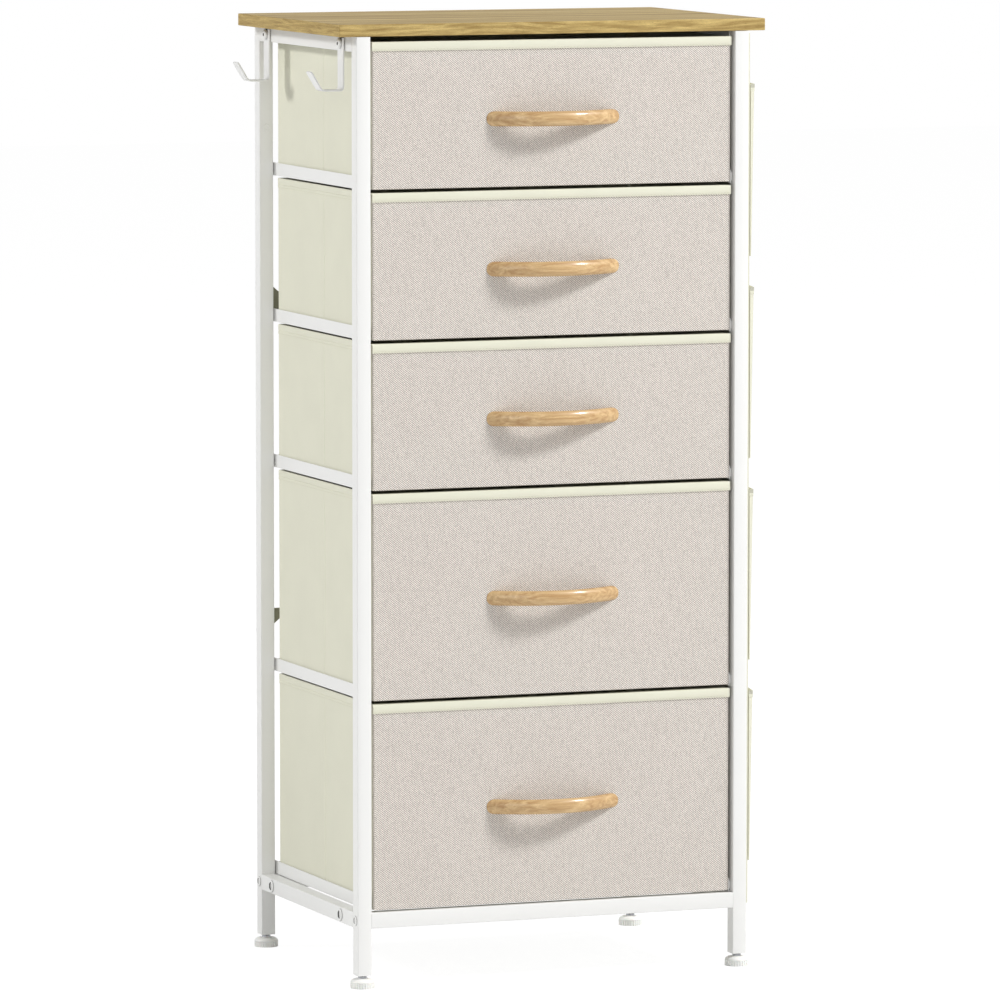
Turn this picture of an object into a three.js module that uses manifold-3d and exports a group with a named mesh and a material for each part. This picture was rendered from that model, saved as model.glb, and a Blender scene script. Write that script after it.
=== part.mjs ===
// Tall fabric drawer dresser: two welded side frames of square steel tube, joined by bottom rails,
// a rear cross brace and a wood top, with five fabric drawers on steel runners, two hooks on the
// left, a column of fabric pockets on the right and four levelling feet.
// Millimetres, +Z up. The drawers open towards -Y, and left and right are as seen from the front.

import * as THREE from "three";
import * as BufferGeometryUtils from "three/addons/utils/BufferGeometryUtils.js";
import Module from "manifold-3d";

const wasm = await Module();
wasm.setup();

// Driving dimensions of the whole piece
const frameWidth = 414.6;
const frameDepth = 300;
const seatGap = 0.3;
const cutOverrun = 5;

// Square tube posts and rails
const postSize = 14.5;
const tubeWall = 1.2;
const bottomRailLift = 46.8;
const bottomRailHeight = 15.5;
const topRailHeight = 15;

// Wood top
const topThickness = 12;
const topOverhang = 17.7;
const topEase = 0.6;

// Angle runners that carry the drawers
const runnerHeight = 13.1;
const runnerGauge = 1.2;
const runnerShelf = 15;
const runnerStandoff = 1.3;
const runnerPadLength = 7;
const runnerPadHeight = 8;
const runnerFrontInset = 7;
const runnerRearInset = 3;
const runnerCope = 18;

// Fabric drawers, listed from the bottom of the stack to its top
const deepDrawerHeight = 204.3;
const shallowDrawerHeight = 144.4;
const drawerHeights = [
  deepDrawerHeight,
  deepDrawerHeight,
  shallowDrawerHeight,
  shallowDrawerHeight,
  shallowDrawerHeight,
];
const drawerFrontInset = 4;
const drawerRearInset = 19.4;
const drawerSideClearance = 0.5;
const drawerSlideClearance = 0.3;
const drawerStackGap = 3.5;
const drawerTopClearance = 5.2;
const frontThickness = 5;
const trimHeight = 9;
const trimProud = 1.3;
const fabricWall = 2.4;
const fabricFloor = 1.6;
const baseThickness = 3;
const baseClearance = 1;

// Bow handles of solid wood
const handleChord = 122.6;
const handleHeight = 14.6;
const handleThickness = 10;
const handleRise = 25;
const handleDrop = 0.5;
const handleSquareness = 2.4;
const handleOverrunShare = 1.13;
const handleStations = 22;
const handleSides = 12;

// Levelling feet and the threaded plugs that hold them
const padRadius = 12.1;
const padHeight = 9.8;
const padLowerEase = 0.8;
const padUpperEase = 4.2;
const collarRadius = 4.6;
const collarHeight = 2.5;
const studRadius = 3;
const studLength = 30;
const studClearance = 0.3;
const plugHeight = 16;
const roundSides = 24;

// Bent strip hooks on the left top rail
const hookWidth = 15.8;
const hookGauge = 1.6;
const hookDrop = 52.2;
const hookArm = 23.6;
const hookTipRun = 11.3;
const hookTipRise = 18.6;
const hookBend = 3.2;
const hookBendSteps = 4;
const hookTopMargin = 2;
const hookFrontInset = 40.3;
const hookRearInset = 41.9;

// Rear cross brace
const braceWidth = 8;
const braceGauge = 1.5;
const braceLowHeight = 311.3;
const braceHighHeight = 665.9;
const braceLowPlate = 21.6;
const braceHighPlate = 33;
const braceEndInset = 1.4;
const braceCrossing = 12;

// Hanging organiser with its pockets, listed from the top
const panelThickness = 1.5;
const panelSideInset = 1.5;
const panelTopMargin = 2.5;
const panelFootMargin = 4;
const pocketCount = 4;
const pocketSpacing = 31;
const pocketTopDrop = 52.8;
const pocketFootLift = 43;
const pocketSideInset = 0.5;
const pocketFabric = 1.8;
const pocketMouthSide = 5.2;
const pocketMouthMiddle = 25;
const pocketFootSide = 2.3;
const pocketFootMiddle = 7;
const pocketFloor = 2;
const pocketSteps = 10;
const pocketLevels = 4;

// Heights and places that follow from the sizes above
const footHeight = padHeight + collarHeight + seatGap;
const halfWidth = frameWidth / 2;
const halfDepth = frameDepth / 2;
const railBottom = footHeight + bottomRailLift;
const railTop = railBottom + bottomRailHeight;
const stackBottom = railTop + seatGap;
const runnerBottoms = [];
drawerHeights.reduce((level, height) => {
  runnerBottoms.push(level);
  return level + height + drawerStackGap;
}, stackBottom);
const drawerBottoms = runnerBottoms.map((level) => level + runnerGauge + drawerSlideClearance);
const lastDrawer = drawerHeights.length - 1;
const postTop = drawerBottoms[lastDrawer] + drawerHeights[lastDrawer] + drawerTopClearance;
const topRailBottom = postTop - topRailHeight;
const topBottom = postTop + seatGap;
const runnerFace = halfWidth - postSize - runnerStandoff;
const drawerHalfWidth = runnerFace - runnerGauge - drawerSideClearance;
const drawerFrontY = -halfDepth + drawerFrontInset;
const drawerRearY = halfDepth - drawerRearInset;
const panelBottom = railBottom + panelFootMargin;
const pocketTop = postTop - pocketTopDrop;
const pocketSpan = pocketTop - panelBottom - pocketFootLift;
const pocketPitch = (pocketSpan + pocketSpacing) / pocketCount;
const pocketHeight = pocketPitch - pocketSpacing;
const pocketBackX = halfWidth + seatGap + panelThickness + seatGap;
const pocketHalfSpan = halfDepth - panelSideInset - pocketSideInset;

// Finishes
const finishes = {
  steel: { color: 0xf1f2f2, roughness: 0.42, metalness: 0.1 },
  brace: { color: 0x8f8e7b, roughness: 0.5, metalness: 0.1 },
  oak: { color: 0xc09a63, roughness: 0.5, metalness: 0 },
  bow: { color: 0xd9b27c, roughness: 0.35, metalness: 0 },
  linen: { color: 0xcfc6c1, roughness: 0.9, metalness: 0 },
  lining: { color: 0xdbdac8, roughness: 0.9, metalness: 0 },
  board: { color: 0xb99a6d, roughness: 0.85, metalness: 0 },
  pad: { color: 0xefeee6, roughness: 0.45, metalness: 0 },
  plug: { color: 0xe4e4e0, roughness: 0.5, metalness: 0 },
};

function finish(name) {
  return new THREE.MeshStandardMaterial(finishes[name]);
}

const dresser = new THREE.Group();

function add(name, geometry, finishName) {
  const mesh = new THREE.Mesh(geometry, finish(finishName));
  mesh.name = name;
  dresser.add(mesh);
  return mesh;
}

// Shape helpers

function block(xa, xb, ya, yb, za, zb) {
  const geometry = new THREE.BoxGeometry(Math.abs(xb - xa), Math.abs(yb - ya), Math.abs(zb - za));
  geometry.translate((xa + xb) / 2, (ya + yb) / 2, (za + zb) / 2);
  return geometry;
}

function toSolid(geometry) {
  const plain = geometry.clone();
  plain.deleteAttribute("normal");
  plain.deleteAttribute("uv");
  const merged = BufferGeometryUtils.mergeVertices(plain);
  return new wasm.Manifold(
    new wasm.Mesh({
      numProp: 3,
      vertProperties: new Float32Array(merged.attributes.position.array),
      triVerts: new Uint32Array(merged.index.array),
    }),
  );
}

function toGeometry(solid) {
  const mesh = solid.getMesh();
  const geometry = new THREE.BufferGeometry();
  geometry.setAttribute("position", new THREE.BufferAttribute(mesh.vertProperties, 3));
  geometry.setIndex(new THREE.BufferAttribute(mesh.triVerts, 1));
  return geometry;
}

function joined(...geometries) {
  const solids = geometries.map(toSolid);
  return toGeometry(solids.reduce((whole, piece) => whole.add(piece)));
}

function cut(geometry, ...tools) {
  return toGeometry(tools.map(toSolid).reduce((whole, tool) => whole.subtract(tool), toSolid(geometry)));
}

function shapeOf(points) {
  return new THREE.Shape(points.map(([u, v]) => new THREE.Vector2(u, v)));
}

function extruded(shape, depth, xAxis, yAxis, zAxis) {
  const geometry = new THREE.ExtrudeGeometry(shape, { depth, bevelEnabled: false });
  geometry.applyMatrix4(new THREE.Matrix4().makeBasis(xAxis, yAxis, zAxis));
  return geometry;
}

const axisX = new THREE.Vector3(1, 0, 0);
const axisY = new THREE.Vector3(0, 1, 0);
const axisZ = new THREE.Vector3(0, 0, 1);
const axisBack = new THREE.Vector3(0, -1, 0);

// An outline in Y and Z, drawn out along X from xa to xb.
function alongX(points, xa, xb) {
  const geometry = extruded(shapeOf(points), Math.abs(xb - xa), axisY, axisZ, axisX);
  geometry.translate(Math.min(xa, xb), 0, 0);
  return geometry;
}

// An outline in X and Z, drawn out along Y from ya to yb.
function alongY(points, ya, yb) {
  const geometry = extruded(shapeOf(points), Math.abs(yb - ya), axisX, axisZ, axisBack);
  geometry.translate(0, Math.max(ya, yb), 0);
  return geometry;
}

// A skin over rings of equal counts, closed by a fan at each end. The rings are convex.
function lofted(rings) {
  const count = rings[0].length;
  const positions = rings.flat().flatMap((point) => [point.x, point.y, point.z]);
  const faces = [];
  for (let ring = 0; ring < rings.length - 1; ring += 1) {
    for (let side = 0; side < count; side += 1) {
      const next = (side + 1) % count;
      const a = ring * count + side;
      const b = ring * count + next;
      const c = (ring + 1) * count + next;
      const d = (ring + 1) * count + side;
      faces.push(a, b, c, a, c, d);
    }
  }
  const last = (rings.length - 1) * count;
  for (let side = 1; side < count - 1; side += 1) {
    faces.push(0, side + 1, side, last, last + side, last + side + 1);
  }
  const geometry = new THREE.BufferGeometry();
  geometry.setAttribute("position", new THREE.Float32BufferAttribute(positions, 3));
  geometry.setIndex(faces);
  return geometry;
}

function squareTube(side, other, length) {
  const shape = shapeOf([[0, 0], [side, 0], [side, other], [0, other]]);
  const inner = new THREE.Path();
  inner.moveTo(tubeWall, tubeWall);
  inner.lineTo(tubeWall, other - tubeWall);
  inner.lineTo(side - tubeWall, other - tubeWall);
  inner.lineTo(side - tubeWall, tubeWall);
  shape.holes.push(inner);
  return new THREE.ExtrudeGeometry(shape, { depth: length, bevelEnabled: false });
}

// Steel frame

function addPosts() {
  for (const [end, y] of [["front", -halfDepth], ["rear", halfDepth - postSize]]) {
    for (const [side, x] of [["left", -halfWidth], ["right", halfWidth - postSize]]) {
      const geometry = squareTube(postSize, postSize, postTop - footHeight);
      geometry.translate(x, y, footHeight);
      add(`post_${end}_${side}`, geometry, "steel");
    }
  }
}

// A tube that runs front to back between two posts.
function sideRail(x, bottom, height) {
  const length = frameDepth - 2 * postSize - 2 * seatGap;
  const geometry = squareTube(postSize, height, length);
  geometry.applyMatrix4(new THREE.Matrix4().makeBasis(axisX, axisZ, axisBack));
  geometry.translate(x, length / 2, bottom);
  return geometry;
}

// A tube that runs left to right between two posts.
function crossRail(y, bottom, height) {
  const length = frameWidth - 2 * postSize - 2 * seatGap;
  const geometry = squareTube(postSize, height, length);
  geometry.applyMatrix4(new THREE.Matrix4().makeBasis(axisY, axisZ, axisX));
  geometry.translate(-length / 2, y, bottom);
  return geometry;
}

function addRails() {
  for (const [side, x] of [["left", -halfWidth], ["right", halfWidth - postSize]]) {
    add(`top_rail_${side}`, sideRail(x, topRailBottom, topRailHeight), "steel");
    add(`lower_rail_${side}`, sideRail(x, railBottom, bottomRailHeight), "steel");
  }
  add("bottom_rail_front", crossRail(-halfDepth, railBottom, bottomRailHeight), "steel");
  add("bottom_rail_rear", crossRail(halfDepth - postSize, railBottom, bottomRailHeight), "steel");
}

// An angle that the drawer slides in, with a weld pad at each post and an upturned stop at the rear.
// Its shelf is coped away at the front, behind the drawer's face.
function runner(sign, bottom) {
  const outer = sign * runnerFace;
  const inner = sign * (runnerFace - runnerGauge);
  const lip = sign * (runnerFace - runnerShelf);
  const front = -halfDepth + runnerFrontInset;
  const rear = halfDepth - runnerRearInset;
  const angle = alongY(
    [
      [outer, bottom],
      [lip, bottom],
      [lip, bottom + runnerGauge],
      [inner, bottom + runnerGauge],
      [inner, bottom + runnerHeight],
      [outer, bottom + runnerHeight],
    ],
    front,
    rear,
  );
  const cope = block(
    inner,
    lip + sign * -cutOverrun,
    front - cutOverrun,
    front + runnerCope,
    bottom - cutOverrun,
    bottom + runnerHeight,
  );
  const postInner = sign * (halfWidth - postSize - seatGap);
  const padBottom = bottom + (runnerHeight - runnerPadHeight) / 2;
  const padBite = sign * (runnerFace - runnerGauge / 2);
  const pads = [front, rear - runnerPadLength].map((y) =>
    block(postInner, padBite, y, y + runnerPadLength, padBottom, padBottom + runnerPadHeight),
  );
  const stopY = drawerRearY + seatGap;
  const stop = block(
    padBite,
    lip,
    stopY,
    stopY + runnerGauge,
    bottom + runnerGauge / 2,
    bottom + runnerHeight,
  );
  return joined(cut(angle, cope), ...pads, stop);
}

// Drawers and their runners are numbered from the top.
function numberFromTop(index) {
  return drawerHeights.length - index;
}

function addRunners() {
  runnerBottoms.forEach((bottom, index) => {
    add(`runner_left_${numberFromTop(index)}`, runner(-1, bottom), "steel");
    add(`runner_right_${numberFromTop(index)}`, runner(1, bottom), "steel");
  });
}

// Thin strips that cross behind the drawers. Each end widens to a plate with a level edge.
function braceStrip(sign, stepBack) {
  const postCentre = halfWidth - postSize / 2;
  const slope = (braceHighHeight - braceLowHeight) / (2 * postCentre);
  const halfBand = (braceWidth / 2) * Math.hypot(1, slope);
  const centre = footHeight + (braceLowHeight + braceHighHeight) / 2;
  const low = footHeight + braceLowHeight;
  const high = footHeight + braceHighHeight;
  const lowEdge = (braceLowPlate - halfBand) / slope - postCentre;
  const highEdge = postCentre - (braceHighPlate - halfBand) / slope;
  const end = halfWidth - braceEndInset;
  const stations = [-end, lowEdge, -braceCrossing, braceCrossing, highEdge, end];
  const rings = stations.map((x) => {
    const middle = centre + slope * x;
    const bottom = x > highEdge ? high - braceHighPlate : middle - halfBand;
    const top = x < lowEdge ? low + braceLowPlate : middle + halfBand;
    const y = halfDepth + seatGap + (Math.abs(x) <= braceCrossing ? stepBack : 0);
    return [
      new THREE.Vector3(sign * x, y, bottom),
      new THREE.Vector3(sign * x, y, top),
      new THREE.Vector3(sign * x, y + braceGauge, top),
      new THREE.Vector3(sign * x, y + braceGauge, bottom),
    ];
  });
  return lofted(sign > 0 ? rings.reverse() : rings);
}

function addBrace() {
  add("brace_strip_rising", braceStrip(1, 0), "brace");
  add("brace_strip_falling", braceStrip(-1, braceGauge + seatGap), "brace");
}

function addTop() {
  const halfTop = halfWidth + topOverhang - topEase;
  const halfBoard = halfDepth - topEase;
  const outline = shapeOf([
    [-halfTop, -halfBoard],
    [halfTop, -halfBoard],
    [halfTop, halfBoard],
    [-halfTop, halfBoard],
  ]);
  const geometry = new THREE.ExtrudeGeometry(outline, {
    depth: topThickness - 2 * topEase,
    bevelThickness: topEase,
    bevelSize: topEase,
    bevelSegments: 1,
  });
  geometry.translate(0, 0, topBottom + topEase);
  add("wood_top", geometry, "oak");
}

// Levelling feet

function foot() {
  const collarTop = padHeight + collarHeight;
  const profile = [
    [0, 0],
    [padRadius - padLowerEase, 0],
    [padRadius, padLowerEase],
    [padRadius, padHeight - padUpperEase],
    [padRadius - padUpperEase / 3, padHeight - padUpperEase / 3],
    [padRadius - padUpperEase, padHeight],
    [collarRadius, padHeight],
    [collarRadius, collarTop],
    [studRadius, collarTop],
    [studRadius, collarTop + studLength],
    [0, collarTop + studLength],
  ];
  const points = profile.map(([radius, height]) => new THREE.Vector2(radius, height));
  const geometry = new THREE.LatheGeometry(points, roundSides);
  geometry.rotateX(Math.PI / 2);
  return geometry;
}

function plug() {
  const half = postSize / 2 - tubeWall - seatGap;
  const body = block(-half, half, -half, half, footHeight, footHeight + plugHeight);
  const bore = new THREE.CylinderGeometry(
    studRadius + studClearance,
    studRadius + studClearance,
    plugHeight + 2 * cutOverrun,
    roundSides,
  );
  bore.rotateX(Math.PI / 2);
  bore.translate(0, 0, footHeight + plugHeight / 2);
  return cut(body, bore);
}

function addFeet() {
  const reachX = halfWidth - postSize / 2;
  const reachY = halfDepth - postSize / 2;
  for (const [end, y] of [["front", -reachY], ["rear", reachY]]) {
    for (const [side, x] of [["left", -reachX], ["right", reachX]]) {
      add(`foot_${end}_${side}`, foot(), "pad").position.set(x, y, 0);
      add(`plug_${end}_${side}`, plug(), "plug").position.set(x, y, 0);
    }
  }
}

// Drawers, each a fabric box with a stiff front, a loose base board and a bow handle

function drawerFront(bottom, height) {
  const top = bottom + height;
  const trimBottom = top - trimHeight;
  const trimFace = drawerFrontY - trimProud;
  return alongX(
    [
      [drawerFrontY, bottom],
      [drawerFrontY + frontThickness, bottom],
      [drawerFrontY + frontThickness, top],
      [trimFace, top],
      [trimFace, trimBottom],
      [drawerFrontY, trimBottom],
    ],
    -drawerHalfWidth,
    drawerHalfWidth,
  );
}

function drawerBox(bottom, height) {
  const front = drawerFrontY + frontThickness + seatGap;
  const outer = block(-drawerHalfWidth, drawerHalfWidth, front, drawerRearY, bottom, bottom + height);
  const inner = drawerHalfWidth - fabricWall;
  const cavity = block(
    -inner,
    inner,
    front + fabricWall,
    drawerRearY - fabricWall,
    bottom + fabricFloor,
    bottom + height + cutOverrun,
  );
  return cut(outer, cavity);
}

function drawerBase(bottom) {
  const half = drawerHalfWidth - fabricWall - baseClearance;
  const front = drawerFrontY + frontThickness + seatGap + fabricWall + baseClearance;
  const rear = drawerRearY - fabricWall - baseClearance;
  const level = bottom + fabricFloor + seatGap;
  return block(-half, half, front, rear, level, level + baseThickness);
}

// An oval bar bent in a flat arch, whose two ends are cut flush with the drawer's front.
function handle(level) {
  const halfChord = handleChord / 2;
  const rise = handleRise - handleThickness / 2;
  const rings = [];
  for (let station = 0; station <= handleStations; station += 1) {
    const share = handleOverrunShare * ((2 * station) / handleStations - 1);
    const centre = new THREE.Vector3(halfChord * share, rise * (share * share - 1), 0);
    const outward = new THREE.Vector3(2 * rise * share, -halfChord, 0).normalize();
    const ring = [];
    for (let side = 0; side < handleSides; side += 1) {
      const angle = (-2 * Math.PI * side) / handleSides;
      const across = Math.sign(Math.cos(angle)) * Math.abs(Math.cos(angle)) ** (2 / handleSquareness);
      const up = Math.sign(Math.sin(angle)) * Math.abs(Math.sin(angle)) ** (2 / handleSquareness);
      const point = centre.clone().addScaledVector(outward, (across * handleThickness) / 2);
      point.z = (up * handleHeight) / 2;
      ring.push(point);
    }
    rings.push(ring);
  }
  const behind = block(-handleChord, handleChord, 0, handleThickness, -handleHeight, handleHeight);
  const geometry = cut(lofted(rings), behind);
  geometry.translate(0, drawerFrontY - seatGap, level - handleDrop);
  return geometry;
}

function addDrawers() {
  drawerBottoms.forEach((bottom, index) => {
    const name = `drawer_${numberFromTop(index)}`;
    const height = drawerHeights[index];
    const handleLevel = bottom + (height - trimHeight) / 2;
    add(`${name}_front`, drawerFront(bottom, height), "linen");
    add(`${name}_box`, drawerBox(bottom, height), "lining");
    add(`${name}_base`, drawerBase(bottom), "board");
    add(`${name}_handle`, handle(handleLevel), "bow");
  });
}

// Hooks

// The points of a line whose corners are rounded with curves that start `bend` before the corner.
function rounded(corners, bend, steps) {
  const points = [corners[0]];
  for (let index = 1; index < corners.length - 1; index += 1) {
    const corner = corners[index];
    const toward = (other) =>
      corner.clone().addScaledVector(other.clone().sub(corner).normalize(), bend);
    const curve = new THREE.QuadraticBezierCurve(
      toward(corners[index - 1]),
      corner,
      toward(corners[index + 1]),
    );
    points.push(...curve.getPoints(steps));
  }
  points.push(corners[corners.length - 1]);
  return points;
}

// The outline of a strip of even gauge that follows a line.
function stripOutline(line, gauge) {
  const left = [];
  const right = [];
  line.forEach((point, index) => {
    const before = line[Math.max(index - 1, 0)];
    const after = line[Math.min(index + 1, line.length - 1)];
    const along = after.clone().sub(before).normalize();
    const normal = new THREE.Vector2(-along.y, along.x);
    left.push(point.clone().addScaledVector(normal, gauge / 2));
    right.push(point.clone().addScaledVector(normal, -gauge / 2));
  });
  return [...left, ...right.reverse()].map((point) => [point.x, point.y]);
}

function hook() {
  const strapX = -halfWidth - seatGap - hookGauge / 2;
  const top = postTop - hookTopMargin;
  const armLevel = top - hookDrop + hookGauge / 2;
  const armEnd = -halfWidth - hookArm;
  const corners = [
    new THREE.Vector2(strapX, top),
    new THREE.Vector2(strapX, armLevel),
    new THREE.Vector2(armEnd, armLevel),
    new THREE.Vector2(armEnd - hookTipRun, armLevel + hookTipRise),
  ];
  const line = rounded(corners, hookBend, hookBendSteps);
  return alongY(stripOutline(line, hookGauge), -hookWidth / 2, hookWidth / 2);
}

function addHooks() {
  add("hook_front", hook(), "steel").position.y = -halfDepth + hookFrontInset;
  add("hook_rear", hook(), "steel").position.y = halfDepth - hookRearInset;
}

// Pocket organiser

// A wedge that stands off the panel, thick at its mouth and bowed outwards along its middle.
function pocketWedge(bottom, top, inset, extra) {
  const rings = [];
  for (let level = 0; level <= pocketLevels; level += 1) {
    const height = level / pocketLevels;
    const z = bottom + (top - bottom) * height + (level === pocketLevels ? extra : 0);
    const sideReach = THREE.MathUtils.lerp(pocketFootSide, pocketMouthSide, height) - inset;
    const bow = THREE.MathUtils.lerp(
      pocketFootMiddle - pocketFootSide,
      pocketMouthMiddle - pocketMouthSide,
      height,
    );
    const half = pocketHalfSpan - inset;
    const back = pocketBackX + inset;
    const ring = [new THREE.Vector3(back, half, z), new THREE.Vector3(back, -half, z)];
    for (let step = 0; step <= pocketSteps; step += 1) {
      const along = step / pocketSteps;
      const reach = sideReach + bow * Math.sin(Math.PI * along);
      ring.push(new THREE.Vector3(pocketBackX + reach, half * (2 * along - 1), z));
    }
    rings.push(ring);
  }
  return lofted(rings);
}

function pocket(top) {
  const bottom = top - pocketHeight;
  const outer = pocketWedge(bottom, top, 0, 0);
  const cavity = pocketWedge(bottom + pocketFloor, top, pocketFabric / 2, cutOverrun);
  return cut(outer, cavity);
}

function addOrganiser() {
  const panelX = halfWidth + seatGap;
  const panelTop = postTop - panelTopMargin;
  const panelHalf = halfDepth - panelSideInset;
  add(
    "pocket_panel",
    block(panelX, panelX + panelThickness, -panelHalf, panelHalf, panelBottom, panelTop),
    "lining",
  );
  for (let index = 0; index < pocketCount; index += 1) {
    add(`pocket_${index + 1}`, pocket(pocketTop - index * pocketPitch), "lining");
  }
}

addPosts();
addRails();
addRunners();
addBrace();
addTop();
addFeet();
addDrawers();
addHooks();
addOrganiser();

// The origin is the bottom centre of the whole outline.
const hookTipLength = Math.hypot(hookTipRun, hookTipRise);
const hookTipSpread = ((hookGauge / 2) * hookTipRise) / hookTipLength;
const hookReach = hookArm + hookTipRun + hookTipSpread;
const footReach = padRadius - postSize / 2;
const leftReach = halfWidth + Math.max(hookReach, topOverhang, footReach);
const rightReach = Math.max(pocketBackX + pocketMouthMiddle, halfWidth + topOverhang, halfWidth + footReach);
const frontReach = Math.max(halfDepth + footReach, seatGap + handleRise - drawerFrontY);
const rearReach = halfDepth + Math.max(footReach, 2 * seatGap + 2 * braceGauge);
dresser.position.set((leftReach - rightReach) / 2, (frontReach - rearReach) / 2, 0);

export default dresser;
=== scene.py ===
"""Looks of a tall fabric drawer dresser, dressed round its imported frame.

Every length is in metres in the frame's own axes: +Z up, the drawers open towards -Y, and left
and right are as seen from the front.
"""

from __future__ import annotations

import logging
import math
from collections.abc import Callable, Sequence
from dataclasses import dataclass, field
from enum import Enum

import bmesh
import bpy
from mathutils import Matrix, Vector, noise


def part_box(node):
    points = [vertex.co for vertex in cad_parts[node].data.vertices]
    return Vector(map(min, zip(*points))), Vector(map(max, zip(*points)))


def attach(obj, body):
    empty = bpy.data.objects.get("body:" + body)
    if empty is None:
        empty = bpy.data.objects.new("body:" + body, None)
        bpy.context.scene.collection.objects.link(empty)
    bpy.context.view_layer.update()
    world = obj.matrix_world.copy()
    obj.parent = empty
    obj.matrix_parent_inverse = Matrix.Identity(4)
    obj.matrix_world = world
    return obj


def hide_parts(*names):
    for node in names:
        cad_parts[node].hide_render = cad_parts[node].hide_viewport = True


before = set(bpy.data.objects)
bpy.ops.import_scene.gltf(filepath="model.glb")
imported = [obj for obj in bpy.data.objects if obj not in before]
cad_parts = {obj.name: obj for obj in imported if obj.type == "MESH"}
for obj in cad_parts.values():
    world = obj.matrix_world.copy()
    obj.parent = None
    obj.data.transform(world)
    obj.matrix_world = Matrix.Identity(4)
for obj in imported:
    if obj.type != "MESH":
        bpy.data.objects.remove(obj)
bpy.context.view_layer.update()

LOG = logging.getLogger("dresser")
MM = 0.001
CLOTH_UV = "cloth"
FACING = "facing"
RUN_UV = "run"
# Face attribute that marks faces for painted shade.
SHADE = "shade"
BODY_FRAME = "frame"
DRAWER_COUNT = 5
POCKET_COUNT = 4
ENDS = ("front", "rear")
SIDES = ("left", "right")

LEFTWARDS = Vector((-1.0, 0.0, 0.0))
RIGHTWARDS = Vector((1.0, 0.0, 0.0))
FORWARDS = Vector((0.0, -1.0, 0.0))
BACKWARDS = Vector((0.0, 1.0, 0.0))
UPWARDS = Vector((0.0, 0.0, 1.0))
WHITE = (1.0, 1.0, 1.0, 1.0)

Rgb = tuple[float, float, float]
Inputs = dict[str | int, object]
Ring = list[Vector]
Loop = list[tuple[float, float]]
Node = bpy.types.Node
Socket = bpy.types.NodeSocket
Material = bpy.types.Material
Piece = bpy.types.Object
Mesh = bpy.types.Mesh


def linear(red: int, green: int, blue: int) -> Rgb:
    """Turns a colour written as 0 to 255 on a screen into linear light."""
    share = [channel / 255 for channel in (red, green, blue)]
    return tuple(c / 12.92 if c <= 0.04045 else ((c + 0.055) / 1.055) ** 2.4 for c in share)


def tinted(color: Rgb, factor: float) -> Rgb:
    """A colour made darker or lighter by a factor."""
    return tuple(min(1.0, channel * factor) for channel in color)


def rgba(color: Rgb) -> tuple[float, float, float, float]:
    """A colour with full opacity."""
    return (*color, 1.0)


class Slot(Enum):
    """The record's material slots of the added pieces, passed along but never applied."""

    FRAME = "frame_steel"
    TOP = "top_oak"
    HANDLE = "handle_wood"
    FRONT = "front_linen"
    LINING = "drawer_lining"
    ORGANISER = "organiser_fabric"
    FOOT = "foot_plastic"
    PLUG = "plug_plastic"


@dataclass
class Graph:
    """Adds nodes to one node tree and wires them.

    Attributes:
        tree: The node tree that takes the nodes.
    """

    tree: bpy.types.NodeTree

    def node(self, kind: str, inputs: Inputs | None = None, **settings: object) -> Node:
        """Adds a node.

        Args:
            kind: The node's type name.
            inputs: Values, sockets or nodes for its inputs, by name or by place.
            settings: Values of the node's own properties.

        Returns:
            The new node.
        """
        made = self.tree.nodes.new(kind)
        for name, value in settings.items():
            setattr(made, name, value)
        for key, value in (inputs or {}).items():
            if isinstance(value, (Node, Socket)):
                self.link(value, made.inputs[key])
            else:
                made.inputs[key].default_value = value
        return made

    def link(self, source: Node | Socket, target: Socket) -> None:
        """Wires a socket, or a node's first output, to an input."""
        self.tree.links.new(source.outputs[0] if isinstance(source, Node) else source, target)

    def math(self, operation: str, first: object, second: object = 0.0) -> Socket:
        """One sum of two numbers."""
        return self.node("ShaderNodeMath", {0: first, 1: second}, operation=operation).outputs[0]

    def times(self, first: object, second: object) -> Socket:
        """The product of two numbers."""
        return self.math("MULTIPLY", first, second)

    def minus(self, first: object, second: object) -> Socket:
        """The difference of two numbers."""
        return self.math("SUBTRACT", first, second)

    def joined(self, x: object, y: object, z: object = 0.0) -> Socket:
        """Three numbers as one vector."""
        return self.node("ShaderNodeCombineXYZ", {0: x, 1: y, 2: z}).outputs[0]

    def split(self, vector: Node | Socket) -> tuple[Socket, ...]:
        """A vector's three numbers."""
        return tuple(self.node("ShaderNodeSeparateXYZ", {0: vector}).outputs)


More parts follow.
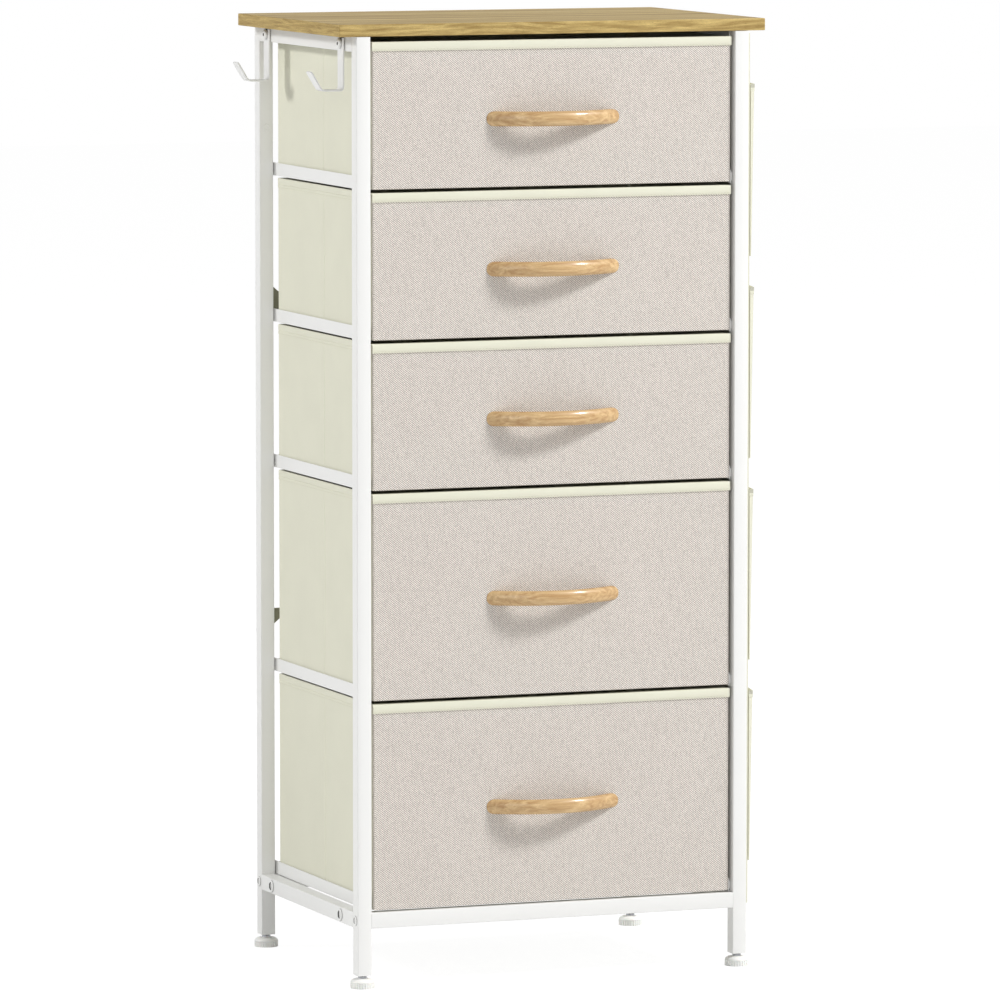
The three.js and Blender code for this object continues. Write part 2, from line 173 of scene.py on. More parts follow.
class Shading(Graph):
    """A material's node tree, with the few building blocks that the finishes share."""

    def __init__(self, name: str) -> None:
        """Starts an empty material of that name."""
        self.material = bpy.data.materials.new(name)
        self.material.use_nodes = True
        super().__init__(self.material.node_tree)
        self.tree.nodes.clear()

    def place(self) -> Socket:
        """The point's place on the object, in metres."""
        return self.node("ShaderNodeTexCoord").outputs["Object"]

    def cloth(self, uv_map: str = CLOTH_UV) -> Socket:
        """The point's place on the cloth, in metres, from the piece's own UV map."""
        return self.node("ShaderNodeUVMap", uv_map=uv_map).outputs["UV"]

    def stretched(self, vector: Socket, scale: Sequence[float]) -> Socket:
        """A place with each axis multiplied by its own factor."""
        made = self.node("ShaderNodeMapping", {"Vector": vector, "Scale": tuple(scale)})
        return made.outputs["Vector"]

    def noise(self, vector: Socket, scale: float, detail: float = 2.0, distortion: float = 0.0) -> Socket:
        """Smooth noise from 0 to 1 at a scale per metre."""
        inputs = {"Vector": vector, "Scale": scale, "Detail": detail, "Distortion": distortion}
        return self.node("ShaderNodeTexNoise", inputs).outputs["Fac"]

    def mapped(self, value: Socket, low: float, high: float, to_low: float, to_high: float) -> Socket:
        """A number carried from one range to another, and held inside it."""
        inputs = {"Value": value, "From Min": low, "From Max": high, "To Min": to_low, "To Max": to_high}
        return self.node("ShaderNodeMapRange", inputs).outputs["Result"]

    def blend(self, factor: object, first: object, second: object, mode: str = "MIX") -> Socket:
        """Two colours mixed by a factor."""
        first = rgba(first) if isinstance(first, tuple) else first
        second = rgba(second) if isinstance(second, tuple) else second
        inputs = {0: factor, 6: first, 7: second}
        return self.node("ShaderNodeMix", inputs, data_type="RGBA", blend_type=mode).outputs[2]

    def random(self, vector: Socket) -> Socket:
        """A random number from 0 to 1 for each place."""
        return self.node("ShaderNodeTexWhiteNoise", {"Vector": vector}).outputs["Value"]

    def bump(self, height: Socket, distance: float, strength: float) -> Socket:
        """A surface normal raised by a height from 0 to 1 over a distance in metres."""
        inputs = {"Height": height, "Distance": distance, "Strength": strength}
        return self.node("ShaderNodeBump", inputs).outputs["Normal"]

    def darkened(self, tone: Socket, dark: Rgb) -> Socket:
        """A tone that turns dark where the mesh's faces are marked so, as painted shade in hollows and
        gaps.
        """
        mark = self.node("ShaderNodeAttribute", attribute_name=SHADE).outputs["Fac"]
        return self.blend(mark, tone, dark)


@dataclass(frozen=True)
class Look:
    """One finish.

    Attributes:
        name: The material's name.
        color: Its main colour.
    """

    name: str
    color: Rgb

    def inputs(self, graph: Shading) -> Inputs:
        """Adds the finish's own nodes to a material.

        Args:
            graph: The material that has just been started.

        Returns:
            Values and sockets for the inputs of the Principled shader.
        """
        raise NotImplementedError

    def build(self) -> Material:
        """Makes the material.

        Returns:
            The finished material.
        """
        graph = Shading(self.name)
        shader = graph.node("ShaderNodeBsdfPrincipled", self.inputs(graph))
        graph.node("ShaderNodeOutputMaterial", {"Surface": shader})
        return graph.material


@dataclass(frozen=True)
class PowderCoat(Look):
    """Baked powder paint with a fine orange-peel surface.

    Attributes:
        roughness: Middle of its roughness.
        metallic: Share of metal that shows.
    """

    roughness: float = 0.38
    metallic: float = 0.0

    def inputs(self, graph: Shading) -> Inputs:
        """The Principled shader's inputs."""
        place = graph.place()
        cloud = graph.noise(place, 9.0, 4.0)
        speck = graph.noise(place, 420.0, 2.0)
        tone = graph.blend(cloud, tinted(self.color, 0.975), self.color)
        tone = graph.blend(graph.mapped(speck, 0.62, 0.8, 0.0, 0.10), tone, tinted(self.color, 0.9))
        # Painted shade: faces marked as bolt sockets and head rims turn nearly black.
        tone = graph.darkened(tone, tinted(self.color, 0.03))
        peel = graph.noise(place, 1100.0, 2.0)
        return {
            "Base Color": tone,
            "Metallic": self.metallic,
            "Roughness": graph.mapped(cloud, 0.3, 0.7, self.roughness - 0.05, self.roughness + 0.06),
            "Normal": graph.bump(peel, 0.05 * MM, 0.6),
            "Specular IOR Level": 0.45,
        }


@dataclass(frozen=True)
class PlatedSteel(Look):
    """Bright zinc plate, brushed and slightly clouded.

    Attributes:
        roughness: Middle of its roughness.
    """

    roughness: float = 0.3

    def inputs(self, graph: Shading) -> Inputs:
        """The Principled shader's inputs."""
        place = graph.place()
        cloud = graph.noise(place, 260.0, 4.0)
        return {
            "Base Color": graph.blend(cloud, tinted(self.color, 0.8), self.color),
            "Metallic": 1.0,
            "Roughness": graph.mapped(cloud, 0.3, 0.7, self.roughness - 0.08, self.roughness + 0.1),
            "Normal": graph.bump(graph.noise(place, 2200.0), 0.03 * MM, 0.5),
        }


@dataclass(frozen=True)
class WoodGrain(Look):
    """Wood whose grain runs along one axis, plain or under a clear lacquer.

    Attributes:
        dark: Late wood. The main colour is the early wood's.
        pore: Open pores.
        along: Grain's stretch along the piece, in waves per metre.
        across: Grain's stretch across it, in waves per metre.
        uv_map: UV map that the grain follows, or nothing for the object's X axis.
        coat: Weight of a clear lacquer.
        roughness: Roughness of the wood or its print.
        pores: Depth of the pore pattern from 0 to 1.
        sway: How far the grain wanders, against a plank's.
        specular: Strength of its gloss.
    """

    dark: Rgb
    pore: Rgb
    along: float = 3.0
    across: float = 70.0
    uv_map: str = ""
    coat: float = 0.0
    roughness: float = 0.5
    pores: float = 0.5
    sway: float = 1.0
    specular: float = 0.4

    def inputs(self, graph: Shading) -> Inputs:
        """The Principled shader's inputs."""
        place = graph.cloth(self.uv_map) if self.uv_map else graph.place()
        sway = graph.noise(graph.stretched(place, (2.0, 6.0, 6.0)), 1.6, 3.0)
        x, y, z = graph.split(place)
        bent = graph.joined(
            x, graph.math("ADD", y, graph.times(sway, 0.05 * self.sway)),
            graph.math("ADD", z, graph.times(sway, 0.03 * self.sway)),
        )

        def grain(along: float, across: float, detail: float, distortion: float = 0.0) -> Socket:
            """Noise drawn out along the grain."""
            scale = (self.along * along, self.across * across, self.across * across)
            return graph.noise(graph.stretched(bent, scale), 1.0, detail, distortion)

        broad, fine, pits = grain(1, 1, 5.0, 0.6), grain(5, 9, 3.0), grain(14, 22, 2.0)
        tone = graph.blend(graph.mapped(broad, 0.34, 0.68, 0.0, 1.0), self.dark, self.color)
        tone = graph.blend(graph.mapped(fine, 0.3, 0.75, 0.0, 0.55), tone, tinted(self.dark, 1.05))
        pit = graph.mapped(pits, 0.58, 0.72, 0.0, self.pores)
        tone = graph.blend(pit, tone, self.pore)
        depth = graph.minus(1.0, pit)
        return {
            "Base Color": tone,
            "Roughness": graph.mapped(fine, 0.2, 0.8, self.roughness - 0.07, self.roughness + 0.08),
            "Normal": graph.bump(depth, 0.08 * MM, 0.5),
            "Coat Weight": self.coat,
            "Coat Roughness": 0.16,
            "Specular IOR Level": self.specular,
        }


@dataclass(frozen=True)
class LinenTwill(Look):
    """Two-over-one twill of a darker weft and a light warp, which gives the main colour.

    Attributes:
        weft: Colour of the level threads.
        warp_pitch: Distance between the upright threads.
        weft_pitch: Distance between the level threads.
    """

    weft: Rgb
    warp_pitch: float = 0.89 * MM
    weft_pitch: float = 0.70 * MM

    def inputs(self, graph: Shading) -> Inputs:
        """The Principled shader's inputs."""
        cloth = graph.cloth()
        counts = (1 / self.warp_pitch, 1 / self.weft_pitch, 1.0)
        across, up, _ = graph.split(graph.stretched(cloth, counts))
        column, row = graph.math("FLOOR", across), graph.math("FLOOR", up)
        step = graph.math("FLOORED_MODULO", graph.math("ADD", column, row), 3.0)
        over = graph.math("LESS_THAN", step, 1.5)
        rise = [
            graph.math("SINE", graph.times(graph.math("FRACT", part), math.pi))
            for part in (across, up)
        ]
        thread = {0: over, 2: rise[1], 3: rise[0]}
        height = graph.node("ShaderNodeMix", thread, data_type="FLOAT").outputs[0]
        tone = graph.blend(over, self.weft, self.color)
        knot = graph.random(graph.joined(column, row))
        tone = graph.blend(graph.mapped(knot, 0.45, 1.0, 0.0, 0.24), tone, tinted(self.weft, 0.9))
        band = graph.math("FLOOR", graph.math("DIVIDE", row, 9.0))
        slub = graph.random(graph.joined(column, band, 5.0))
        tone = graph.blend(graph.mapped(slub, 0.6, 1.0, 0.0, 0.12), tone, tinted(self.weft, 0.95))
        # Painted shade: the tone darkens in the valleys between threads.
        valley = graph.mapped(height, 0.0, 0.7, 0.76, 1.0)
        tone = graph.blend(1.0, tone, graph.joined(valley, valley, valley), "MULTIPLY")
        cloud = graph.noise(cloth, 16.0, 3.0)
        tone = graph.blend(graph.mapped(cloud, 0.3, 0.7, 0.0, 0.03), tone, self.weft)
        return {
            "Base Color": tone,
            "Roughness": graph.mapped(height, 0.0, 1.0, 0.95, 0.8),
            "Normal": graph.bump(height, 0.18 * MM, 0.5),
            "Sheen Weight": 0.1,
            "Sheen Roughness": 0.5,
            "Specular IOR Level": 0.2,
        }


@dataclass(frozen=True)
class SpunCloth(Look):
    """Non-woven cloth of bonded fibres, pressed with a fine grid of dots.

    Attributes:
        dot_pitch: Distance between the pressed dots.
    """

    dot_pitch: float = 1.6 * MM

    def inputs(self, graph: Shading) -> Inputs:
        """The Principled shader's inputs."""
        cloth = graph.cloth()
        across, up, _ = graph.split(cloth)
        turns = 2 * math.pi / self.dot_pitch
        diagonals = [
            graph.math("SINE", graph.times(graph.math(kind, across, up), turns))
            for kind in ("ADD", "SUBTRACT")
        ]
        dots = graph.mapped(graph.times(*diagonals), 0.2, 0.75, 0.0, 1.0)
        fibres = graph.noise(cloth, 1500.0, 3.0, 1.2)
        cloud = graph.noise(cloth, 22.0, 4.0)
        dull = tinted(self.color, 0.965)
        tone = graph.blend(graph.mapped(cloud, 0.3, 0.7, 0.0, 1.0), dull, self.color)
        tone = graph.blend(graph.mapped(fibres, 0.45, 0.8, 0.0, 0.3), tone, tinted(self.color, 0.88))
        tone = graph.blend(graph.times(dots, 0.28), tone, tinted(self.color, 0.84))
        # Painted shade: marked faces, at the pockets' mouths and the panel's front edge, turn darker.
        tone = graph.darkened(tone, tinted(self.color, 0.65))
        relief = graph.minus(graph.times(fibres, 0.35), graph.times(dots, 0.6))
        return {
            "Base Color": tone,
            "Roughness": graph.mapped(fibres, 0.3, 0.7, 0.72, 0.88),
            "Normal": graph.bump(relief, 0.12 * MM, 0.7),
            "Sheen Weight": 0.08,
            "Sheen Roughness": 0.5,
            "Specular IOR Level": 0.25,
        }


@dataclass(frozen=True)
class TwistedThread(Look):
    """Sewing thread with a twist."""

    def inputs(self, graph: Shading) -> Inputs:
        """The Principled shader's inputs."""
        place = graph.place()
        wave = {"Vector": place, "Scale": 900.0, "Distortion": 1.5}
        ply = graph.node("ShaderNodeTexWave", wave, bands_direction="DIAGONAL").outputs["Fac"]
        return {
            "Base Color": graph.blend(ply, tinted(self.color, 0.78), self.color),
            "Roughness": graph.mapped(graph.noise(place, 60.0), 0.3, 0.7, 0.6, 0.75),
            "Normal": graph.bump(ply, 0.08 * MM, 0.6),
            "Sheen Weight": 0.15,
        }


@dataclass(frozen=True)
class FibreBoard(Look):
    """Pressed fibreboard with flecks of pale and dark fibre."""

    def inputs(self, graph: Shading) -> Inputs:
        """The Principled shader's inputs."""
        place = graph.place()
        fleck = graph.noise(graph.stretched(place, (1.0, 2.6, 1.0)), 620.0, 4.0, 1.5)
        cloud = graph.noise(place, 18.0, 3.0)
        tone = graph.blend(cloud, tinted(self.color, 0.93), self.color)
        tone = graph.blend(graph.mapped(fleck, 0.4, 0.75, 0.0, 0.7), tone, tinted(self.color, 0.62))
        return {
            "Base Color": tone,
            "Roughness": graph.mapped(fleck, 0.3, 0.7, 0.7, 0.85),
            "Normal": graph.bump(fleck, 0.1 * MM, 0.5),
        }


@dataclass(frozen=True)
class MouldedPlastic(Look):
    """Moulded plastic with a fine spark texture.

    Attributes:
        roughness: Middle of its roughness.
    """

    roughness: float = 0.42

    def inputs(self, graph: Shading) -> Inputs:
        """The Principled shader's inputs."""
        place = graph.place()
        spark = graph.noise(place, 1900.0, 2.0)
        flow = graph.noise(place, 45.0, 3.0)
        return {
            "Base Color": graph.blend(flow, tinted(self.color, 0.95), self.color),
            "Roughness": graph.mapped(flow, 0.3, 0.7, self.roughness - 0.06, self.roughness + 0.08),
            "Normal": graph.bump(spark, 0.04 * MM, 0.5),
            "Subsurface Weight": 0.04,
            "Subsurface Scale": 2 * MM,
        }


class Finish(Enum):
    """The finishes that the pieces of the dresser wear."""

    WHITE_STEEL = PowderCoat("white_powder_coat", linear(239, 239, 237))
    OLIVE_STEEL = PowderCoat("olive_grey_coat", linear(148, 147, 127), 0.5, 0.1)
    BARE_STEEL = PlatedSteel("zinc_plate", linear(176, 178, 182))
    OAK_FACE = WoodGrain(
        "oak_laminate", linear(205, 183, 130), linear(128, 106, 61), linear(90, 70, 36), along=2.2,
        across=90.0, roughness=0.6, pores=0.6, sway=0.4, specular=0.15,
    )
    OAK_EDGE = WoodGrain(
        "oak_edge_band", linear(221, 195, 129), linear(156, 130, 78), linear(96, 72, 38),
        along=26.0, across=330.0, uv_map=RUN_UV, roughness=0.6, pores=0.8, sway=0.5, specular=0.15,
    )
    BOW_WOOD = WoodGrain(
        "lacquered_bow_wood", linear(228, 197, 146), linear(180, 140, 88), linear(136, 96, 56),
        along=7.0, across=300.0, coat=0.6, roughness=0.42, pores=0.5, sway=0.3,
    )
    LINEN = LinenTwill("linen_twill", linear(250, 243, 235), linear(138, 129, 121))
    LINING = SpunCloth("spun_lining", linear(231, 230, 211))
    THREAD = TwistedThread("sewing_thread", linear(226, 224, 200))
    BOARD = FibreBoard("fibreboard", linear(186, 158, 116))
    PAD = MouldedPlastic("ivory_plastic", linear(249, 249, 245))
    PLUG = MouldedPlastic("grey_plastic", linear(222, 222, 218), 0.5)
    # Painted shade: a black disc that shows dark through the hooks' slots.
    SLOT_SHADE = MouldedPlastic("painted_slot_shade", linear(24, 24, 24), 0.6)

    def material(self) -> Material:
        """The finish's material, made the first time that it is asked for."""
        made = bpy.data.materials.get(self.value.name)
        return made if made is not None else self.value.build()


@dataclass(frozen=True)
class Extent:
    """The lowest and highest corner of something.

    Attributes:
        low: Lowest corner.
        high: Highest corner.
    """

    low: Vector
    high: Vector

    @classmethod
    def of(cls, node: str) -> Extent:
        """The extent of a node of the frame."""
        return cls(*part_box(node))

    @property
    def centre(self) -> Vector:
        """The middle of the extent."""
        return (self.low + self.high) / 2

    @property
    def size(self) -> Vector:
        """The extent's three lengths."""
        return self.high - self.low


class Draft:
    """Vertices and faces gathered for one mesh."""

    def __init__(self) -> None:
        """Starts an empty draft."""
        self.points: list[Vector] = []
        self.faces: list[tuple[int, ...]] = []

    def add(self, points: Sequence[Vector]) -> list[int]:
        """Adds points, and gives their numbers in the draft."""
        first = len(self.points)
        self.points.extend(Vector(point) for point in points)
        return list(range(first, len(self.points)))

    def loft(self, rings: Sequence[Ring], capped: bool = True, looped: bool = False) -> None:
        """Adds a skin over closed rings of equal counts.

        Args:
            rings: The rings, in order along the piece.
            capped: Whether the first and last ring are closed by a fan from their middle.
            looped: Whether the last ring joins the first.
        """
        numbers = [self.add(ring) for ring in rings]
        pairs = list(zip(numbers, numbers[1:]))
        if looped:
            pairs.append((numbers[-1], numbers[0]))
        for lower, upper in pairs:
            for index, here in enumerate(lower):
                after = (index + 1) % len(lower)
                self.faces.append((here, lower[after], upper[after], upper[index]))
        if capped and not looped:
            for ring, order in ((numbers[0], -1), (numbers[-1], 1)):
                middle = sum((self.points[number] for number in ring), Vector()) / len(ring)
                (hub,) = self.add([middle])
                for here, after in zip(ring, ring[1:] + ring[:1]):
                    self.faces.append((here, after, hub)[::order])

    def mesh(self, name: str) -> Mesh:
        """The draft as a mesh."""
        mesh = bpy.data.meshes.new(name)
        mesh.from_pydata([tuple(point) for point in self.points], [], self.faces)
        return mesh

    def made(self, name: str, finish: Finish, sharp: float = 35.0) -> Piece:
        """Turns the draft into an object with outward faces and a UV map in metres."""
        return dress(name, self.mesh(name), finish, sharp)


def added(name: str, data: bpy.types.ID) -> Piece:
    """Puts a mesh, lamp or camera in the scene."""
    made = bpy.data.objects.new(name, data)
    bpy.context.scene.collection.objects.link(made)
    return made


def dress(name: str, mesh: Mesh, finish: Finish, sharp: float = 35.0, recalculate: bool = True) -> Piece:
    """Makes an object from a mesh: merged, facing outwards, smooth, mapped and dressed.

    Args:
        name: The object's name.
        mesh: The mesh that it holds.
        finish: What the piece wears.
        sharp: Edges that turn more degrees than this stay sharp.
        recalculate: Whether the faces are turned outwards.

    Returns:
        The new object, in the scene.
    """
    work = bmesh.new()
    work.from_mesh(mesh)
    if recalculate:
        bmesh.ops.remove_doubles(work, verts=work.verts, dist=0.001 * MM)
        bmesh.ops.recalc_face_normals(work, faces=work.faces)
    work.to_mesh(mesh)
    work.free()
    mesh.shade_smooth()
    mesh.set_sharp_from_angle(angle=math.radians(sharp))
    map_cloth(mesh)
    mesh.materials.clear()
    mesh.materials.append(finish.material())
    return added(name, mesh)


def map_cloth(mesh: Mesh) -> None:
    """Gives a mesh a UV map in metres, laid flat on each face's main side.

    Args:
        mesh: The mesh that gets the map.
    """
    layer = mesh.uv_layers.get(CLOTH_UV) or mesh.uv_layers.new(name=CLOTH_UV)
    for polygon in mesh.polygons:
        sizes = [abs(component) for component in polygon.normal]
        across, up = ((1, 2), (0, 2), (0, 1))[sizes.index(max(sizes))]
        for corner in polygon.loop_indices:
            point = mesh.vertices[mesh.loops[corner].vertex_index].co
            layer.data[corner].uv = (point[across], point[up])


def evaluated_mesh(carrier: Piece) -> Mesh:
    """The mesh of an object with its modifiers applied.

    Args:
        carrier: An object with live modifiers.

    Returns:
        A plain mesh.
    """
    bpy.context.view_layer.update()
    depsgraph = bpy.context.evaluated_depsgraph_get()
    return bpy.data.meshes.new_from_object(
        carrier.evaluated_get(depsgraph), preserve_all_data_layers=True, depsgraph=depsgraph
    )


def apply_modifiers(carrier: Piece) -> None:
    """Turns an object's modifiers into its plain mesh."""
    mesh = evaluated_mesh(carrier)
    carrier.modifiers.clear()
    carrier.data = mesh


def bevel_edges(carrier: Piece, width: float, segments: int) -> None:
    """Adds a modifier that rounds an object's sharp edges.

    Args:
        carrier: The object.
        width: Width of the rounding.
        segments: Steps in the rounding.
    """
    bevel = carrier.modifiers.new("edges", "BEVEL")
    bevel.width = width
    bevel.segments = segments
    bevel.limit_method = "ANGLE"
    bevel.angle_limit = math.radians(40)


def bevelled(carrier: Piece, width: float, segments: int) -> Piece:
    """Rounds an object's sharp edges and evens its shading.

    Args:
        carrier: The object.
        width: Width of the rounding.
        segments: Steps in the rounding.

    Returns:
        The same object, with a plain mesh.
    """
    bevel_edges(carrier, width, segments)
    even = carrier.modifiers.new("shading", "WEIGHTED_NORMAL")
    even.keep_sharp = False
    apply_modifiers(carrier)
    map_cloth(carrier.data)
    return carrier


def cut(carrier: Piece, tools: Sequence[Piece]) -> Piece:
    """Cuts solids out of an object, and removes them.

    Args:
        carrier: The object that is cut.
        tools: The solids that are taken away.

    Returns:
        The same object, with a plain mesh.
    """
    for tool in tools:
        step = carrier.modifiers.new("cut", "BOOLEAN")
        step.operation = "DIFFERENCE"
        step.solver = "EXACT"
        step.object = tool
    apply_modifiers(carrier)
    carrier.data.set_sharp_from_angle(angle=math.radians(35))
    for tool in tools:
        bpy.data.objects.remove(tool)
    return carrier


class ShapeTree(Graph):
    """A geometry node tree with named inputs, which ends in a plain dressed mesh."""

    def __init__(self, name: str, floats: Sequence[str], others: dict[str, str] | None = None) -> None:
        """Starts a tree.

        Args:
            name: The tree's name.
            floats: Its named sizes.
            others: Socket type of each other input.
        """
        super().__init__(bpy.data.node_groups.new(name, "GeometryNodeTree"))
        self.tree.interface.new_socket("Geometry", in_out="INPUT", socket_type="NodeSocketGeometry")
        sizes = dict.fromkeys(floats, "NodeSocketFloat")
        for label, kind in {**sizes, **(others or {}), "Material": "NodeSocketMaterial"}.items():
            self.tree.interface.new_socket(label, in_out="INPUT", socket_type=kind)
        self.tree.interface.new_socket("Geometry", in_out="OUTPUT", socket_type="NodeSocketGeometry")
        self.source = self.node("NodeGroupInput")

    def __getitem__(self, label: str) -> Socket:
        """The socket of a named input."""
        return self.source.outputs[label]

    def beside_carrier(self, geometry: Node) -> Node:
        """What the tree has made, together with the mesh that it started from."""
        whole = self.node("GeometryNodeJoinGeometry")
        for part in (self["Geometry"], geometry):
            self.link(part, whole.inputs[0])
        return whole

    def end(self, geometry: Node) -> ShapeTree:
        """Ends the tree: real geometry, shaded smooth and dressed.

        Args:
            geometry: What the tree has made.

        Returns:
            The finished tree.
        """
        real = self.node("GeometryNodeRealizeInstances", {0: geometry})
        shaded = self.node("GeometryNodeSetShadeSmooth", {"Geometry": real, "Shade Smooth": True})
        dressed = self.node("GeometryNodeSetMaterial", {"Geometry": shaded, "Material": self["Material"]})
        self.node("NodeGroupOutput", {"Geometry": dressed})
        return self

    def run(self, name: str, carrier: Mesh, finish: Finish, sizes: Inputs, sharp: float = 180.0) -> Piece:
        """Runs the tree once and keeps its result as a plain piece.

        Args:
            name: The piece's name.
            carrier: The mesh that the tree starts from.
            finish: What the piece wears.
            sizes: Values of the named inputs.
            sharp: Edges that turn more degrees than this stay sharp.

        Returns:
            The finished piece.
        """
        holder = added(name + "_source", carrier)
        modifier = holder.modifiers.new("shape", "NODES")
        modifier.node_group = self.tree
        named = {
            item.name: item.identifier
            for item in self.tree.interface.items_tree
            if item.item_type == "SOCKET" and item.in_out == "INPUT"
        }
        for label, value in {**sizes, "Material": finish.material()}.items():
            modifier[named[label]] = value
        mesh = evaluated_mesh(holder)
        bpy.data.objects.remove(holder)
        return dress(name, mesh, finish, sharp, recalculate=False)


def stitch_tree() -> ShapeTree:
    """The tree that lays stitches along every run of edges.

    Returns:
        The finished tree.
    """
    shape = ShapeTree("stitch_run", ("Pitch", "Length", "Thickness"))
    curve = shape.node("GeometryNodeMeshToCurve", {0: shape["Geometry"]})
    spaced = shape.node(
        "GeometryNodeResampleCurve", {"Curve": curve, "Length": shape["Pitch"]}, mode="LENGTH"
    )
    bead = shape.node("GeometryNodeMeshUVSphere", {"Segments": 6, "Rings": 4, "Radius": 0.5})
    along = shape.node("GeometryNodeInputTangent")
    turned = shape.node("FunctionNodeAlignRotationToVector", {"Vector": along}, axis="Z")
    size = shape.joined(shape["Thickness"], shape["Thickness"], shape["Length"])
    placed = shape.node("GeometryNodeInstanceOnPoints", {
        "Points": spaced, "Instance": bead.outputs["Mesh"], "Rotation": turned, "Scale": size,
    })
    return shape.end(placed)


def fastener_tree() -> ShapeTree:
    """The tree that sets one fastener on every point, facing its own way.

    Returns:
        The finished tree.
    """
    shape = ShapeTree("fasteners", ("Scale",), {"Head": "NodeSocketObject", "Seed": "NodeSocketInt"})
    head = shape.node("GeometryNodeObjectInfo", {"Object": shape["Head"]})
    facing = shape.node("GeometryNodeInputNamedAttribute", {"Name": FACING}, data_type="FLOAT_VECTOR")
    outwards = shape.node("FunctionNodeAlignRotationToVector", {"Vector": facing}, axis="Z")
    spin = shape.node(
        "FunctionNodeRandomValue",
        {"Min": (0.0, 0.0, 0.0), "Max": (0.0, 0.0, 2 * math.pi), "Seed": shape["Seed"]},
        data_type="FLOAT_VECTOR",
    )
    turned = shape.node("FunctionNodeRotateRotation", {0: outwards, 1: spin}, rotation_space="LOCAL")
    placed = shape.node("GeometryNodeInstanceOnPoints", {
        "Points": shape["Geometry"],
        "Instance": head.outputs["Geometry"],
        "Rotation": turned,
        "Scale": shape.joined(*(shape["Scale"],) * 3),
    })
    return shape.end(placed)


def bow_tree() -> ShapeTree:
    """The tree that bends an oval bar in a flat arch, whose ends run on past the wall.

    Returns:
        The finished tree.
    """
    shape = ShapeTree("bow_handle", ("Chord", "Rise", "Height", "Thickness", "Overrun"))
    line = shape.node("GeometryNodeCurvePrimitiveLine", {"Start": (0.0, 0.0, 0.0), "End": (1.0, 0.0, 0.0)})
    fine = shape.node("GeometryNodeResampleCurve", {"Curve": line, "Count": 61}, mode="COUNT")
    along = shape.node("GeometryNodeSplineParameter").outputs["Factor"]
    centred = shape.minus(shape.times(along, 2.0), 1.0)
    share = shape.times(centred, shape["Overrun"])
    out = shape.minus(shape["Rise"], shape.times(shape["Thickness"], 0.5))
    fall = shape.minus(shape.times(share, share), 1.0)
    spot = shape.joined(shape.times(share, shape.times(shape["Chord"], 0.5)), shape.times(fall, out))
    bent = shape.node("GeometryNodeSetPosition", {"Geometry": fine, "Position": spot})
    upright = shape.node("GeometryNodeSetCurveNormal", {"Curve": bent}, mode="Z_UP")
    ring = shape.node("GeometryNodeCurvePrimitiveCircle", {"Resolution": 28, "Radius": 1.0})
    x, y, _ = shape.split(shape.node("GeometryNodeInputPosition"))
    squared = [
        shape.times(shape.math("SIGN", side), shape.math("POWER", shape.math("ABSOLUTE", side), 0.9))
        for side in (x, y)
    ]
    halves = [shape.times(shape[label], 0.5) for label in ("Thickness", "Height")]
    spot = shape.joined(*(shape.times(side, half) for side, half in zip(squared, halves)))
    oval = shape.node("GeometryNodeSetPosition", {"Geometry": ring, "Position": spot})
    bar = shape.node(
        "GeometryNodeCurveToMesh", {"Curve": upright, "Profile Curve": oval, "Fill Caps": True},
    )
    return shape.end(bar)


def rib_tree() -> ShapeTree:
    """The tree that sets upright ribs round a levelling pad.

    Returns:
        The finished tree.
    """
    floats = ("Radius", "Rib Width", "Rib Depth", "Rib Height")
    shape = ShapeTree("pad_ribs", floats, {"Count": "NodeSocketInt"})
    counts = {"Vertices": shape["Count"], "Radius": shape["Radius"]}
    circle = shape.node("GeometryNodeMeshCircle", counts)
    block = shape.joined(shape["Rib Depth"], shape["Rib Width"], shape["Rib Height"])
    rib = shape.node("GeometryNodeMeshCube", {"Size": block})
    number = shape.node("GeometryNodeInputIndex")
    turn = shape.times(shape.math("DIVIDE", number, shape["Count"]), 2 * math.pi)
    spin = shape.node("FunctionNodeEulerToRotation", {0: shape.joined(0.0, 0.0, turn)})
    placed = shape.node(
        "GeometryNodeInstanceOnPoints",
        {"Points": circle, "Instance": rib.outputs["Mesh"], "Rotation": spin},
    )
    moved = shape.node("GeometryNodeSetPosition", {
        "Geometry": shape.node("GeometryNodeRealizeInstances", {0: placed}),
        "Offset": shape.joined(0.0, 0.0, shape.times(shape["Rib Height"], 0.5)),
    })
    return shape.end(shape.beside_carrier(moved))


def thread_tree() -> ShapeTree:
    """The tree that winds a screw thread on a stud.

    Returns:
        The finished tree.
    """
    shape = ShapeTree("screw_thread", ("Turns", "Radius", "Rise", "Ridge"))
    helix = shape.node("GeometryNodeCurveSpiral", {
        "Resolution": 16, "Rotations": shape["Turns"], "Start Radius": shape["Radius"],
        "End Radius": shape["Radius"], "Height": shape["Rise"],
    })
    upright = shape.node("GeometryNodeSetCurveNormal", {"Curve": helix}, mode="Z_UP")
    ridge = shape.node("GeometryNodeCurvePrimitiveCircle", {"Resolution": 5, "Radius": shape["Ridge"]})
    wound = shape.node(
        "GeometryNodeCurveToMesh", {"Curve": upright, "Profile Curve": ridge, "Fill Caps": True},
    )
    return shape.end(shape.beside_carrier(wound))


def weld_tree() -> ShapeTree:
    """The tree that lays a wavy weld bead along every run of edges.

    Returns:
        The finished tree.
    """
    shape = ShapeTree("weld_bead", ("Radius", "Ripple"))
    curve = shape.node("GeometryNodeMeshToCurve", {0: shape["Geometry"]})
    step = shape.times(shape["Ripple"], 0.4)
    fine = shape.node("GeometryNodeResampleCurve", {"Curve": curve, "Length": step}, mode="LENGTH")
    spot = shape.node("GeometryNodeInputPosition")
    waves = shape.math("DIVIDE", 1.0, shape["Ripple"])
    wave = shape.node("ShaderNodeTexNoise", {"Vector": spot, "Scale": waves}).outputs["Fac"]
    ring = shape.node("GeometryNodeCurvePrimitiveCircle", {"Resolution": 8, "Radius": shape["Radius"]})
    bead = shape.node("GeometryNodeCurveToMesh", {
        "Curve": fine,
        "Profile Curve": ring,
        "Scale": shape.math("ADD", 0.7, shape.times(wave, 0.6)),
        "Fill Caps": True,
    })
    return shape.end(bead)


